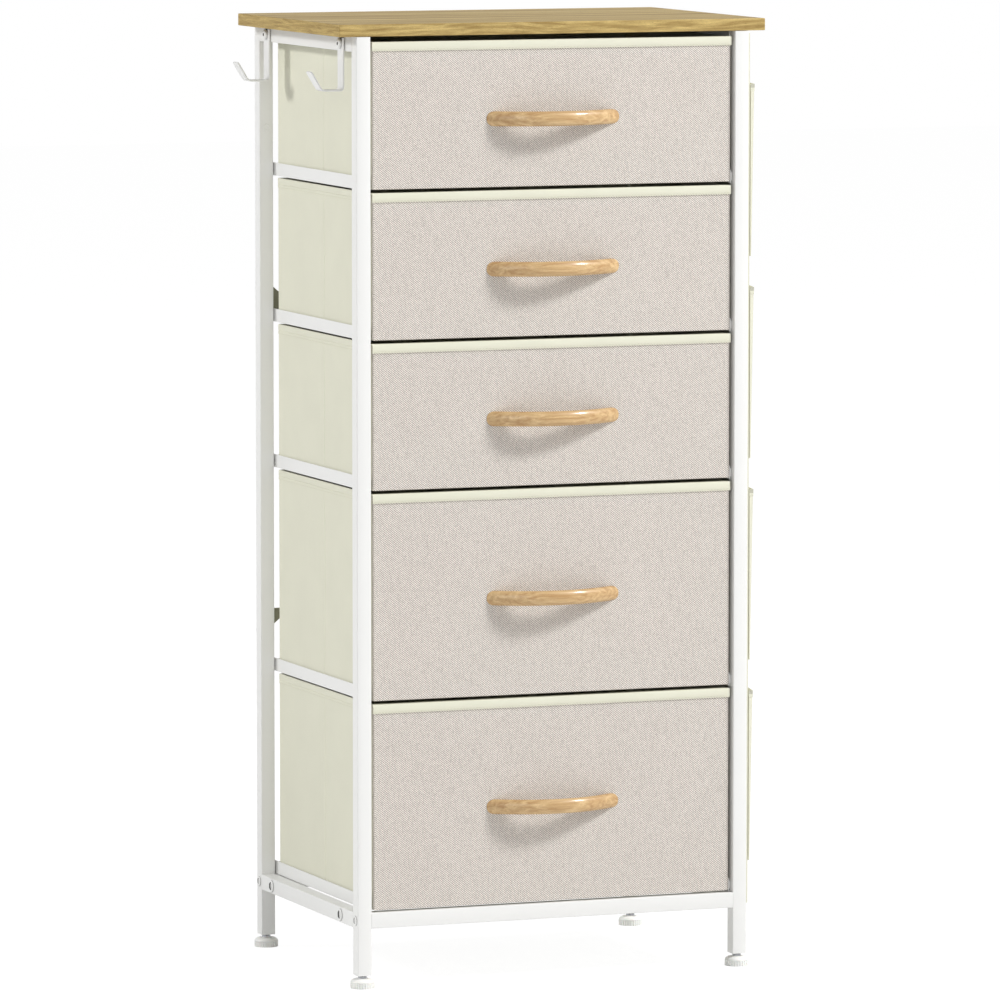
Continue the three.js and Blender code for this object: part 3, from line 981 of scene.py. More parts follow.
def runs_mesh(name: str, runs: Sequence[Sequence[Vector]]) -> Mesh:
    """A mesh that holds only edges, one chain for each run.

    Args:
        name: The mesh's name.
        runs: The points of each chain.

    Returns:
        The mesh.
    """
    points: list[tuple[float, ...]] = []
    edges: list[tuple[int, int]] = []
    for run in runs:
        first = len(points)
        points.extend(tuple(point) for point in run)
        edges.extend((number, number + 1) for number in range(first, len(points) - 1))
    mesh = bpy.data.meshes.new(name)
    mesh.from_pydata(points, edges, [])
    return mesh


def stitched(tree: ShapeTree, name: str, runs: Sequence[Sequence[Vector]]) -> Piece:
    """Sews a line of stitches along every run.

    Args:
        tree: The tree that lays stitches.
        name: The piece's name.
        runs: The points of each run.

    Returns:
        The finished piece.
    """
    pitch = 3.4 * MM
    sizes = {"Pitch": pitch, "Length": pitch * 0.68, "Thickness": 0.5 * MM}
    return tree.run(name, runs_mesh(name, runs), Finish.THREAD, sizes)


def spots_mesh(name: str, spots: Sequence[tuple[Vector, Vector]]) -> Mesh:
    """A mesh that holds only points, each with the way that it faces.

    Args:
        name: The mesh's name.
        spots: Each point and its facing.

    Returns:
        The mesh.
    """
    mesh = bpy.data.meshes.new(name)
    mesh.from_pydata([tuple(point) for point, _ in spots], [], [])
    layer = mesh.attributes.new(FACING, "FLOAT_VECTOR", "POINT")
    layer.data.foreach_set("vector", [value for _, facing in spots for value in facing])
    return mesh


def rounded_loop(low: Sequence[float], high: Sequence[float], radius: float, steps: int) -> Loop:
    """The points of a rectangle with round corners.

    Args:
        low: Its lowest corner in its own plane.
        high: Its highest corner.
        radius: Radius of its corners.
        steps: Steps in each corner.

    Returns:
        The points, anticlockwise.
    """
    centres = (
        (high[0] - radius, high[1] - radius), (low[0] + radius, high[1] - radius),
        (low[0] + radius, low[1] + radius), (high[0] - radius, low[1] + radius),
    )
    loop = []
    for corner, (u, v) in enumerate(centres):
        for step in range(steps + 1):
            angle = math.pi / 2 * (corner + step / steps)
            loop.append((u + radius * math.cos(angle), v + radius * math.sin(angle)))
    return loop


def lofted(rings: Sequence[Ring], looped: bool = False) -> Draft:
    """A draft of one skin over closed rings."""
    draft = Draft()
    draft.loft(rings, looped=looped)
    return draft


def hexagonal(radius: float, angle: float) -> float:
    """The distance to a hexagon's side at an angle, for a radius to its corners."""
    return radius * math.cos(math.pi / 6) / math.cos((angle % (math.pi / 3)) - math.pi / 6)


def lathed(profile: Sequence[tuple[float, float]], sides: int, hexagons: Sequence[int] = ()) -> Draft:
    """A turned shape round the Z axis.

    Args:
        profile: Radius and height of each ring, from one end of the axis to the other.
        sides: Points in each ring.
        hexagons: Numbers of the rings that are hexagons instead of circles.

    Returns:
        A draft that holds the shape.
    """
    rings = []
    for number, (radius, height) in enumerate(profile):
        ring = []
        for side in range(sides):
            angle = 2 * math.pi * side / sides
            reach = hexagonal(radius, angle) if number in hexagons else radius
            ring.append(Vector((reach * math.cos(angle), reach * math.sin(angle), height)))
        rings.append(ring)
    return lofted(rings)


def shade(piece: Piece, amount: float, chosen: Callable) -> None:
    """Paints shade on some faces of a cloth piece.

    Args:
        piece: The piece.
        amount: How dark the faces turn, from 0 to 1.
        chosen: Tells whether a face is darkened.
    """
    layer = piece.data.attributes.new(SHADE, "FLOAT", "FACE")
    for polygon in piece.data.polygons:
        layer.data[polygon.index].value = amount if chosen(polygon) else 0.0


def kept(piece: Piece, *nodes: str, body: str = BODY_FRAME, slot: Slot = Slot.FRAME) -> Piece:
    """Hands a finished piece to the frame.

    Args:
        piece: The piece.
        nodes: Nodes of the frame that it stands for.
        body: The body that it moves with.
        slot: The record's slot that its finish belongs to; not used.

    Returns:
        The same piece.
    """
    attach(piece, body)
    if nodes:
        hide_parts(*nodes)
    LOG.info("%s on %s: %d faces", piece.name, body, len(piece.data.polygons))
    return piece


def dress_node(node: str, finish: Finish, edge: float = 0.0) -> None:
    """Gives a node of the frame its finish and, where asked, softer edges.

    Args:
        node: The node's name.
        finish: What it wears.
        edge: Width of its rounded edges, or nothing.
    """
    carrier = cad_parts[node]
    carrier.data.materials.clear()
    carrier.data.materials.append(finish.material())
    if edge:
        weld = carrier.modifiers.new("merged", "WELD")
        weld.merge_threshold = 0.005 * MM
        bevel_edges(carrier, edge, 2)
    LOG.info("%s wears %s", node, finish.value.name)


@dataclass(frozen=True)
class SocketHead:
    """Sizes of a round head with a hexagon socket.

    Attributes:
        radius: Radius of the head.
        height: How far it stands out.
        rim: Height of its upright rim, under the dome.
        socket: Radius of the hexagon to its corners.
        depth: Depth of the socket.
        rim_shade: Painted shade on the rim, round the head's foot.
        dark: Painted shade on the socket's walls.
    """

    radius: float
    height: float
    rim: float
    socket: float
    depth: float
    rim_shade: float
    dark: float = 0.95

    def profile(self) -> Loop:
        """Radius and height of each ring, from the seat to the socket's mouth."""
        steps, flat = 6, self.socket * 1.12
        rings = [(self.radius * 0.97, 0.0), (self.radius, self.rim * 0.4), (self.radius, self.rim)]
        for step in range(1, steps + 1):
            angle = math.pi / 2 * step / steps
            out = flat + (self.radius - flat) * math.cos(angle)
            rings.append((out, self.rim + (self.height - self.rim) * math.sin(angle)))
        return rings


@dataclass
class Fasteners:
    """Hex-socket heads, pan heads and domes, as one piece for each body and finish.

    Attributes:
        sizes: The hex-socket heads, by the part of the frame that they hold.
        seed: Seed of the heads' random turns.
        tree: The tree that sets them.
        heads: The pattern objects made so far, by kind.
    """

    sizes: dict[str, SocketHead] = field(
        default_factory=lambda: {
            # The sixth size of each head is painted shade on its rim; the seventh, or 0.95, is painted
            # shade on its socket's walls.
            "rail": SocketHead(6.3 * MM, 1.55 * MM, 0.7 * MM, 4.3 * MM, 1.35 * MM, 0.5),
            "post": SocketHead(5.0 * MM, 1.2 * MM, 0.6 * MM, 3.4 * MM, 1.05 * MM, 0.5, 0.4),
            "hook": SocketHead(5.0 * MM, 3.0 * MM, 1.2 * MM, 1.9 * MM, 1.6 * MM, 0.3),
            "flush": SocketHead(4.0 * MM, 0.5 * MM, 0.25 * MM, 2.2 * MM, 0.4 * MM, 0.15, 0.08),
        }
    )
    seed: int = 11
    tree: ShapeTree = field(default_factory=fastener_tree)
    heads: dict[str, Piece] = field(default_factory=dict)

    def socketed(self, size: SocketHead) -> Draft:
        """The draft of a round head with a hexagon socket.

        Args:
            size: The head's sizes.

        Returns:
            A draft that holds the head.
        """
        profile = size.profile()
        rim = len(profile)
        profile += [(size.socket, size.height - 0.1 * MM), (size.socket, size.height - size.depth)]
        return lathed(profile, 36, range(rim, rim + 2))

    def dome(self) -> Draft:
        """The draft of a plain round head."""
        steps = 7
        radius, height = 6.5 * MM, 4.2 * MM
        profile = [(radius * 0.96, 0.0)]
        for step in range(steps):
            angle = math.pi / 2 * step / steps
            profile.append((radius * math.cos(angle), 0.4 * MM + height * math.sin(angle)))
        return lathed(profile, 32)

    def washer(self) -> Draft:
        """The draft of a thin flat black disc, painted shade seen through a hook's slot."""
        radius, thickness = 6.6 * MM, 0.35 * MM
        return lathed([(radius - 0.1 * MM, 0.0), (radius, 0.1 * MM), (radius, thickness)], 32)

    def tip(self) -> Draft:
        """The draft of a bolt's bare end, with a nut on a flat ring."""
        nut, stud = 4.9 * MM, 2.9 * MM
        profile = [
            (6.2 * MM, 0.0), (6.2 * MM, 1.0 * MM), (nut, 1.0 * MM), (nut, 5.4 * MM),
            (stud, 5.6 * MM), (stud, 12.2 * MM), (stud * 0.75, 13.0 * MM),
        ]
        return lathed(profile, 36, (2, 3))

    def head(self, kind: str) -> Piece:
        """The pattern object of a kind of head, kept out of the renders.

        Args:
            kind: A socket head's part of the frame, or the name of a plain head.

        Returns:
            The pattern object.
        """
        if kind not in self.heads:
            size = self.sizes.get(kind)
            plain = {"dome": self.dome, "washer": self.washer, "tip": self.tip}
            draft = self.socketed(size) if size else plain[kind]()
            made = draft.made(f"pattern_{kind}", Finish.WHITE_STEEL, 32.0)
            if size:
                self.shade(made.data, size)
            made.hide_render = True
            self.heads[kind] = made
        return self.heads[kind]

    @staticmethod
    def shade(mesh: Mesh, size: SocketHead) -> None:
        """Marks a head's socket walls and its rim with painted shade.

        Args:
            mesh: The head's mesh.
            size: Its sizes.
        """
        layer = mesh.attributes.new(SHADE, "FLOAT", "FACE")
        for polygon in mesh.polygons:
            centre = polygon.center
            reach = math.hypot(centre.x, centre.y)
            # Painted shade: socket walls dark, socket floor barely, and the rim below by its own amount.
            if reach < size.socket * 1.01 and centre.z < size.height - 0.05 * MM:
                upright = abs(polygon.normal.z) < 0.5
                layer.data[polygon.index].value = size.dark * (1.0 if upright else 0.08)
            elif centre.z < size.rim:
                layer.data[polygon.index].value = size.rim_shade

    def place(
        self, name: str, kind: str, spots: Sequence[tuple[Vector, Vector]],
        finish: Finish = Finish.WHITE_STEEL, body: str = BODY_FRAME, slot: Slot = Slot.FRAME,
        scale: float = 1.0,
    ) -> Piece:
        """Sets a group of like fasteners.

        Args:
            name: The group's name.
            kind: Kind of head.
            spots: Each fastener's seat and the way that it faces.
            finish: What they wear.
            body: The body that they move with.
            slot: The record's slot.
            scale: Size of the heads against the pattern.

        Returns:
            The finished piece.
        """
        sizes = {"Head": self.head(kind), "Scale": scale, "Seed": self.seed}
        piece = self.tree.run(name, spots_mesh(name, spots), finish, sizes, 32.0)
        return kept(piece, body=body, slot=slot)

    def clear(self) -> None:
        """Removes the pattern objects."""
        for pattern in self.heads.values():
            bpy.data.objects.remove(pattern)
        self.heads.clear()


@dataclass
class SteelFrame:
    """Posts, rails, runners, cross brace and their fasteners.

    Attributes:
        fasteners: What sets the bolts.
        wall: Wall of the square tube.
        corner: Radius of the tube's corners.
        corner_steps: Steps in each corner.
        weld_radius: Radius of the weld beads.
        rail_bolt_insets: Places of the lower rail's bolts from the front of the frame.
        anchor_height: Height of the bolt through each rear post near its top.
        hook_bolt_drop: Height of the hooks' bolts under the top of the posts.
        hook_stand: How far the hooks' straps stand off the posts' faces, on their outside.
        keyhole_radius: Radius of the holes in the rail behind the hooks.
        joint_gap: Gap that the welds fill.
        brace_gauge: Thickness of the brace's strips.
        brace_plates: Height of a strip's lower and upper end plate.
    """

    fasteners: Fasteners
    wall: float = 1.2 * MM
    corner: float = 0.7 * MM
    corner_steps: int = 4
    weld_radius: float = 1.1 * MM
    rail_bolt_insets: tuple[float, float] = (51 * MM, 255 * MM)
    anchor_height: float = 835 * MM
    hook_bolt_drop: float = 7.6 * MM
    hook_stand: float = 2.4 * MM
    keyhole_radius: float = 5.4 * MM
    joint_gap: float = 0.3 * MM
    brace_gauge: float = 1.5 * MM
    brace_plates: tuple[float, float] = (21.6 * MM, 33 * MM)

    def tube(self, node: str, axis: int, reach: float) -> Piece:
        """A square tube with round corners in the place of a node.

        Args:
            node: The node that it follows.
            axis: Axis that the tube runs along.
            reach: Added at each end, to meet what it is welded to.

        Returns:
            The tube's object.
        """
        extent = Extent.of(node)
        u, v = [other for other in range(3) if other != axis]
        ends = (extent.low[axis] - reach, extent.high[axis] + reach)
        low = (extent.low[u], extent.low[v])
        high = (extent.high[u], extent.high[v])
        outer = rounded_loop(low, high, self.corner, self.corner_steps)
        low, high = [value + self.wall for value in low], [value - self.wall for value in high]
        inner = rounded_loop(low, high, self.corner * 0.4, self.corner_steps)

        def ring(loop: Loop, place: float) -> Ring:
            """The loop as points at one place along the tube."""
            points = []
            for first, second in loop:
                point = Vector((0.0, 0.0, 0.0))
                point[axis], point[u], point[v] = place, first, second
                points.append(point)
            return points

        rings = [ring(outer, ends[0]), ring(outer, ends[1]), ring(inner, ends[1]), ring(inner, ends[0])]
        return lofted(rings, looped=True).made(f"{node}_tube", Finish.WHITE_STEEL, 40.0)

    def keyholes(self, rail: Piece) -> None:
        """Cuts a hole in the left top rail behind each hook's bolt."""
        tools = []
        for node in ("hook_front", "hook_rear"):
            strap = Extent.of(node)
            side = Extent.of("top_rail_left")
            level = side.high.z - self.keyhole_radius - self.wall
            tool = lathed([(self.keyhole_radius, -4 * MM), (self.keyhole_radius, 4 * MM)], 28)
            turn = Matrix.Rotation(math.pi / 2, 4, "Y")
            shift = Matrix.Translation((side.low.x, strap.centre.y, level))
            tool.points = [shift @ turn @ point for point in tool.points]
            tools.append(tool.made("keyhole_tool", Finish.WHITE_STEEL))
        cut(rail, tools)

    def tubes(self) -> None:
        """Builds every tube of the frame."""
        for end in ENDS:
            for side in SIDES:
                node = f"post_{end}_{side}"
                kept(self.tube(node, 2, 0.0), node)
            node = f"bottom_rail_{end}"
            kept(self.tube(node, 0, self.joint_gap), node)
        for side in SIDES:
            for level in ("top", "lower"):
                node = f"{level}_rail_{side}"
                piece = self.tube(node, 1, self.joint_gap)
                if node == "top_rail_left":
                    self.keyholes(piece)
                kept(piece, node)

    def welds(self) -> None:
        """Lays the weld beads on the rails' inner faces and undersides."""
        rails = [(f"{level}_rail_{side}", 0) for side in SIDES for level in ("top", "lower")]
        rails += [("bottom_rail_front", 1), ("bottom_rail_rear", 1)]
        runs = []
        for node, axis in rails:
            rail, along = Extent.of(node), 1 - axis
            outer, inner = rail.low, rail.high
            if node.endswith(("right", "rear")):
                outer, inner = inner, outer
            near = outer[axis] + math.copysign(2.5 * MM, inner[axis] - outer[axis])
            for end in (rail.low[along] - self.joint_gap / 2, rail.high[along] + self.joint_gap / 2):
                ends = ((near, rail.low.z), (inner[axis], rail.low.z))
                rise = ((inner[axis], rail.low.z + 1 * MM), (inner[axis], rail.high.z - 1 * MM))
                for run in (ends, rise):
                    runs.append([Vector((end, side, z) if axis else (side, end, z)) for side, z in run])
        name, sizes = "frame_weld_beads", {"Radius": self.weld_radius, "Ripple": 2.2 * MM}
        kept(weld_tree().run(name, runs_mesh(name, runs), Finish.WHITE_STEEL, sizes, 80.0))

    @staticmethod
    def dress_nodes() -> None:
        """Dresses the angle runners and the cross brace."""
        for side in SIDES:
            for number in range(1, DRAWER_COUNT + 1):
                dress_node(f"runner_{side}_{number}", Finish.WHITE_STEEL, 0.35 * MM)
        for way in ("rising", "falling"):
            dress_node(f"brace_strip_{way}", Finish.OLIVE_STEEL, 0.3 * MM)

    def side_bolts(self) -> None:
        """Sets the left side's bolts: lower rail, posts and hooks. The organiser covers the right side."""
        rail = Extent.of("lower_rail_left")
        post = Extent.of("post_front_left")
        hooks = [Extent.of(node).centre.y for node in ("hook_front", "hook_rear")]
        posts = [Extent.of(f"post_{end}_left").centre.y for end in ENDS]
        rails = [post.low.y + inset for inset in self.rail_bolt_insets]
        level = post.high.z - self.hook_bolt_drop
        groups = {
            "rail": [Vector((rail.low.x, y, rail.centre.z)) for y in rails],
            "post": [Vector((post.low.x, y, rail.centre.z)) for y in posts],
            "hook": [Vector((post.low.x - self.hook_stand, y, level)) for y in hooks],
        }
        for kind, places in groups.items():
            spots = [(place, LEFTWARDS) for place in places]
            self.fasteners.place(f"{kind}_socket_bolts", kind, spots)
        # Painted shade: a thin black disc behind each hook's strap shows dark through its slot.
        slot_shade_discs = [(Vector((post.low.x, y, level + 1.0 * MM)), LEFTWARDS) for y in hooks]
        self.fasteners.place("hook_washers", "washer", slot_shade_discs, Finish.SLOT_SHADE)

    def rear_bolts(self) -> None:
        """Sets the bolts through the rear posts and the brace's round-headed bolts."""
        anchors, tips, domes = [], [], []
        for side in SIDES:
            post = Extent.of(f"post_rear_{side}")
            anchors.append((Vector((post.centre.x, post.low.y, self.anchor_height)), FORWARDS))
            tips.append((Vector((post.centre.x, post.high.y, self.anchor_height)), BACKWARDS))
        left, right = Extent.of("post_rear_left").centre.x, Extent.of("post_rear_right").centre.x
        for way, low_x, high_x in (("rising", left, right), ("falling", right, left)):
            strip = Extent.of(f"brace_strip_{way}")
            face = strip.low.y + self.brace_gauge
            domes.append((Vector((low_x, face, strip.low.z + self.brace_plates[0] / 2)), BACKWARDS))
            domes.append((Vector((high_x, face, strip.high.z - self.brace_plates[1] / 2)), BACKWARDS))
        self.fasteners.place("rear_anchor_bolts", "flush", anchors)
        self.fasteners.place("rear_anchor_nuts", "tip", tips, Finish.BARE_STEEL, scale=0.82)
        self.fasteners.place("brace_dome_bolts", "dome", domes)

    def build(self) -> None:
        """Builds and dresses the whole frame."""
        self.tubes()
        self.welds()
        self.dress_nodes()
        self.side_bolts()
        self.rear_bolts()


@dataclass
class WoodTop:
    """Laminated board with an edge band all round.

    Attributes:
        band: Thickness of the edge band.
        ease: Rounding of the band's two long edges.
        corner: Rounding of the board's four corners.
    """

    band: float = 0.5 * MM
    ease: float = 0.7 * MM
    corner: float = 1.2 * MM

    @staticmethod
    def ring(level: float, inset: float, radius: float, steps: int) -> Ring:
        """The board's outline at one level, moved inwards."""
        extent = Extent.of("wood_top")
        low = (extent.low.x + inset, extent.low.y + inset)
        high = (extent.high.x - inset, extent.high.y - inset)
        return [Vector((x, y, level)) for x, y in rounded_loop(low, high, radius, steps)]

    def board(self) -> Piece:
        """The board itself, inside its band."""
        extent = Extent.of("wood_top")
        levels = (extent.low.z, extent.high.z)
        rings = [self.ring(level, self.band, self.corner - self.band / 2, 4) for level in levels]
        return lofted(rings).made("top_board", Finish.OAK_FACE)

    def edge(self) -> Piece:
        """The band round the board, with a UV map that runs along it."""
        extent = Extent.of("wood_top")
        angles = [math.pi / 2 * step / 4 for step in range(5)]
        rise = [self.ease * (1 - math.cos(angle)) for angle in angles]
        fall = [self.ease * (1 - math.sin(angle)) for angle in angles]
        inner = self.band + 0.02 * MM
        profile = [(inner, extent.low.z)]
        profile += [(inset, extent.low.z + lift) for inset, lift in zip(fall, rise)]
        profile += [(inset, extent.high.z - lift) for inset, lift in zip(rise, fall)]
        profile.append((inner, extent.high.z))
        rings = [self.ring(level, inset, max(self.corner - inset, 0.2 * MM), 6) for inset, level in profile]
        piece = lofted(rings, looped=True).made("top_edge_band", Finish.OAK_EDGE, 50.0)
        self.map_run(piece.data)
        return piece

    @staticmethod
    def map_run(mesh: Mesh) -> None:
        """Gives the band a UV map along its run and up its height."""
        layer = mesh.uv_layers.new(name=RUN_UV)
        for polygon in mesh.polygons:
            normal = polygon.normal
            flat_x = abs(normal.x) > abs(normal.y)
            for corner in polygon.loop_indices:
                point = mesh.vertices[mesh.loops[corner].vertex_index].co
                layer.data[corner].uv = (point.y + 1.0 if flat_x else point.x, point.z)

    def build(self) -> None:
        """Builds and dresses the wood top."""
        kept(self.board(), "wood_top", slot=Slot.TOP)
        kept(self.edge(), "wood_top", slot=Slot.TOP)


@dataclass
class StripHook:
    """A bent strip of steel with a forked top and a rounded tip.

    Attributes:
        name: The node that it stands for.
        width: Width of the strip.
        gauge: Thickness of the strip.
        stand: How much further the strap stands off the rail than the node does.
        arm: Reach of the arm from the post's face.
        tip_run: Run of the raised tip.
        tip_rise: Rise of the raised tip.
        bend: Radius of the bends.
        tip_round: Rounding of the tip's corners.
        fork_radius: Radius of the slot in the strap's top.
        fork_depth: Depth of the slot from the strap's top.
    """

    name: str
    width: float = 15.8 * MM
    gauge: float = 1.6 * MM
    stand: float = 0.4 * MM
    arm: float = 23.6 * MM
    tip_run: float = 11.3 * MM
    tip_rise: float = 18.6 * MM
    bend: float = 3.6 * MM
    tip_round: float = 2.4 * MM
    fork_radius: float = 4.8 * MM
    fork_depth: float = 7.0 * MM

    def path(self) -> list[Vector]:
        """The middle line of the strip, from its top to its tip, in X and Z."""
        extent = Extent.of(self.name)
        strap = extent.high.x - self.stand - self.gauge / 2
        face = extent.high.x + 0.3 * MM
        level = extent.low.z + self.gauge / 2
        corners = [
            Vector((strap, 0.0, extent.high.z)), Vector((strap, 0.0, level)),
            Vector((face - self.arm, 0.0, level)),
            Vector((face - self.arm - self.tip_run, 0.0, level + self.tip_rise)),
        ]
        line = [corners[0], corners[0].lerp(corners[1], 0.5)]
        for before, corner, after in zip(corners, corners[1:], corners[2:]):
            start = corner + (before - corner).normalized() * self.bend
            stop = corner + (after - corner).normalized() * self.bend
            for step in range(9):
                share = step / 8
                line.append(start.lerp(corner, share).lerp(corner.lerp(stop, share), share))
        last = corners[-1]
        inner = last + (corners[-2] - last).normalized() * self.tip_round
        line += [inner.lerp(last, math.sin(math.pi / 2 * step / 6)) for step in range(7)]
        return line

    def strip(self) -> Piece:
        """The bent strip before its slot is cut."""
        line = self.path()
        middle = Extent.of(self.name).centre.y
        edge = 0.3 * MM
        rings = []
        for number, point in enumerate(line):
            before, after = line[max(number - 1, 0)], line[min(number + 1, len(line) - 1)]
            along = (after - before).normalized()
            normal = Vector((-along.z, 0.0, along.x))
            left = (point - line[-1]).length
            half = self.width / 2
            if left < self.tip_round:
                half -= self.tip_round - math.sqrt(self.tip_round**2 - (self.tip_round - left) ** 2)
            loop = rounded_loop((-self.gauge / 2, -half), (self.gauge / 2, half), edge, 2)
            rings.append([point + normal * u + Vector((0.0, middle + v, 0.0)) for u, v in loop])
        return lofted(rings).made(f"{self.name}_strip", Finish.WHITE_STEEL, 40.0)

    def build(self) -> None:
        """Builds and dresses the hook."""
        extent = Extent.of(self.name)
        loop = rounded_loop(
            (-self.fork_radius, -self.fork_depth), (self.fork_radius, self.fork_depth + 10 * MM),
            self.fork_radius * 0.98, 6,
        )
        rings = [
            [Vector((x, extent.centre.y + u, extent.high.z + v)) for u, v in loop]
            for x in (extent.high.x - self.gauge * 2, extent.high.x + self.gauge * 2)
        ]
        piece = cut(self.strip(), [lofted(rings).made("fork_tool", Finish.WHITE_STEEL)])
        map_cloth(piece.data)
        kept(piece, self.name)


@dataclass
class LevellingFoot:
    """A ribbed plastic pad on a threaded stud with a hexagon collar.

    Attributes:
        name: The node that it stands for.
        rib_count: Ribs round the pad.
        rib_width: Width of a rib.
        rib_depth: How far a rib stands out.
        stud_radius: Radius of the stud under its thread.
        thread_pitch: Pitch of the thread.
        thread_ridge: Radius of the thread's ridge.
        collar_height: Height of the hexagon collar.
        pad_height: Height of the pad under it.
    """

    name: str
    rib_count: int = 28
    rib_width: float = 1.7 * MM
    rib_depth: float = 1.0 * MM
    stud_radius: float = 2.65 * MM
    thread_pitch: float = 1.0 * MM
    thread_ridge: float = 0.32 * MM
    collar_height: float = 2.5 * MM
    pad_height: float = 9.8 * MM

    def build(self) -> None:
        """Builds and dresses the foot."""
        extent = Extent.of(self.name)
        radius = extent.size.x / 2
        core = radius - self.rib_depth
        shift = Matrix.Translation((extent.centre.x, extent.centre.y, extent.low.z))
        profile = [
            (core - 0.6 * MM, 0.0), (core, 0.9 * MM), (core, 5.6 * MM),
            (radius - 0.1 * MM, 5.9 * MM), (radius - 0.5 * MM, 6.9 * MM),
            (radius - 1.6 * MM, 8.1 * MM), (radius - 3.4 * MM, 9.1 * MM), (5.2 * MM, self.pad_height),
        ]
        body = lathed(profile, 48).mesh("pad_body")
        sizes = {
            "Count": self.rib_count, "Radius": core + self.rib_depth * 0.3, "Rib Height": 5.7 * MM,
            "Rib Width": self.rib_width, "Rib Depth": self.rib_depth * 1.2,
        }
        pad = rib_tree().run(f"{self.name}_pad", body, Finish.PAD, sizes, 50.0)
        pad.data.transform(shift)
        kept(pad, self.name, body=self.name, slot=Slot.FOOT)
        top = extent.size.z
        collar = self.pad_height + self.collar_height
        stud_profile = [
            (4.6 * MM, self.pad_height - 0.3 * MM), (4.6 * MM, collar - 0.3 * MM),
            (4.3 * MM, collar), (self.stud_radius, collar), (self.stud_radius, top - 0.6 * MM),
            (self.stud_radius - 0.6 * MM, top),
        ]
        shank = lathed(stud_profile, 36, range(3))
        lowered = Matrix.Translation((0.0, 0.0, -collar))
        shank.points = [lowered @ point for point in shank.points]
        body, rise = shank.mesh("stud_body"), top - collar - 1.5 * MM
        sizes = {
            "Turns": rise / self.thread_pitch, "Radius": self.stud_radius, "Rise": rise,
            "Ridge": self.thread_ridge,
        }
        stud = thread_tree().run(f"{self.name}_stud", body, Finish.BARE_STEEL, sizes, 50.0)
        stud.data.transform(shift @ Matrix.Translation((0.0, 0.0, collar)))
        kept(stud, body=self.name, slot=Slot.FOOT)


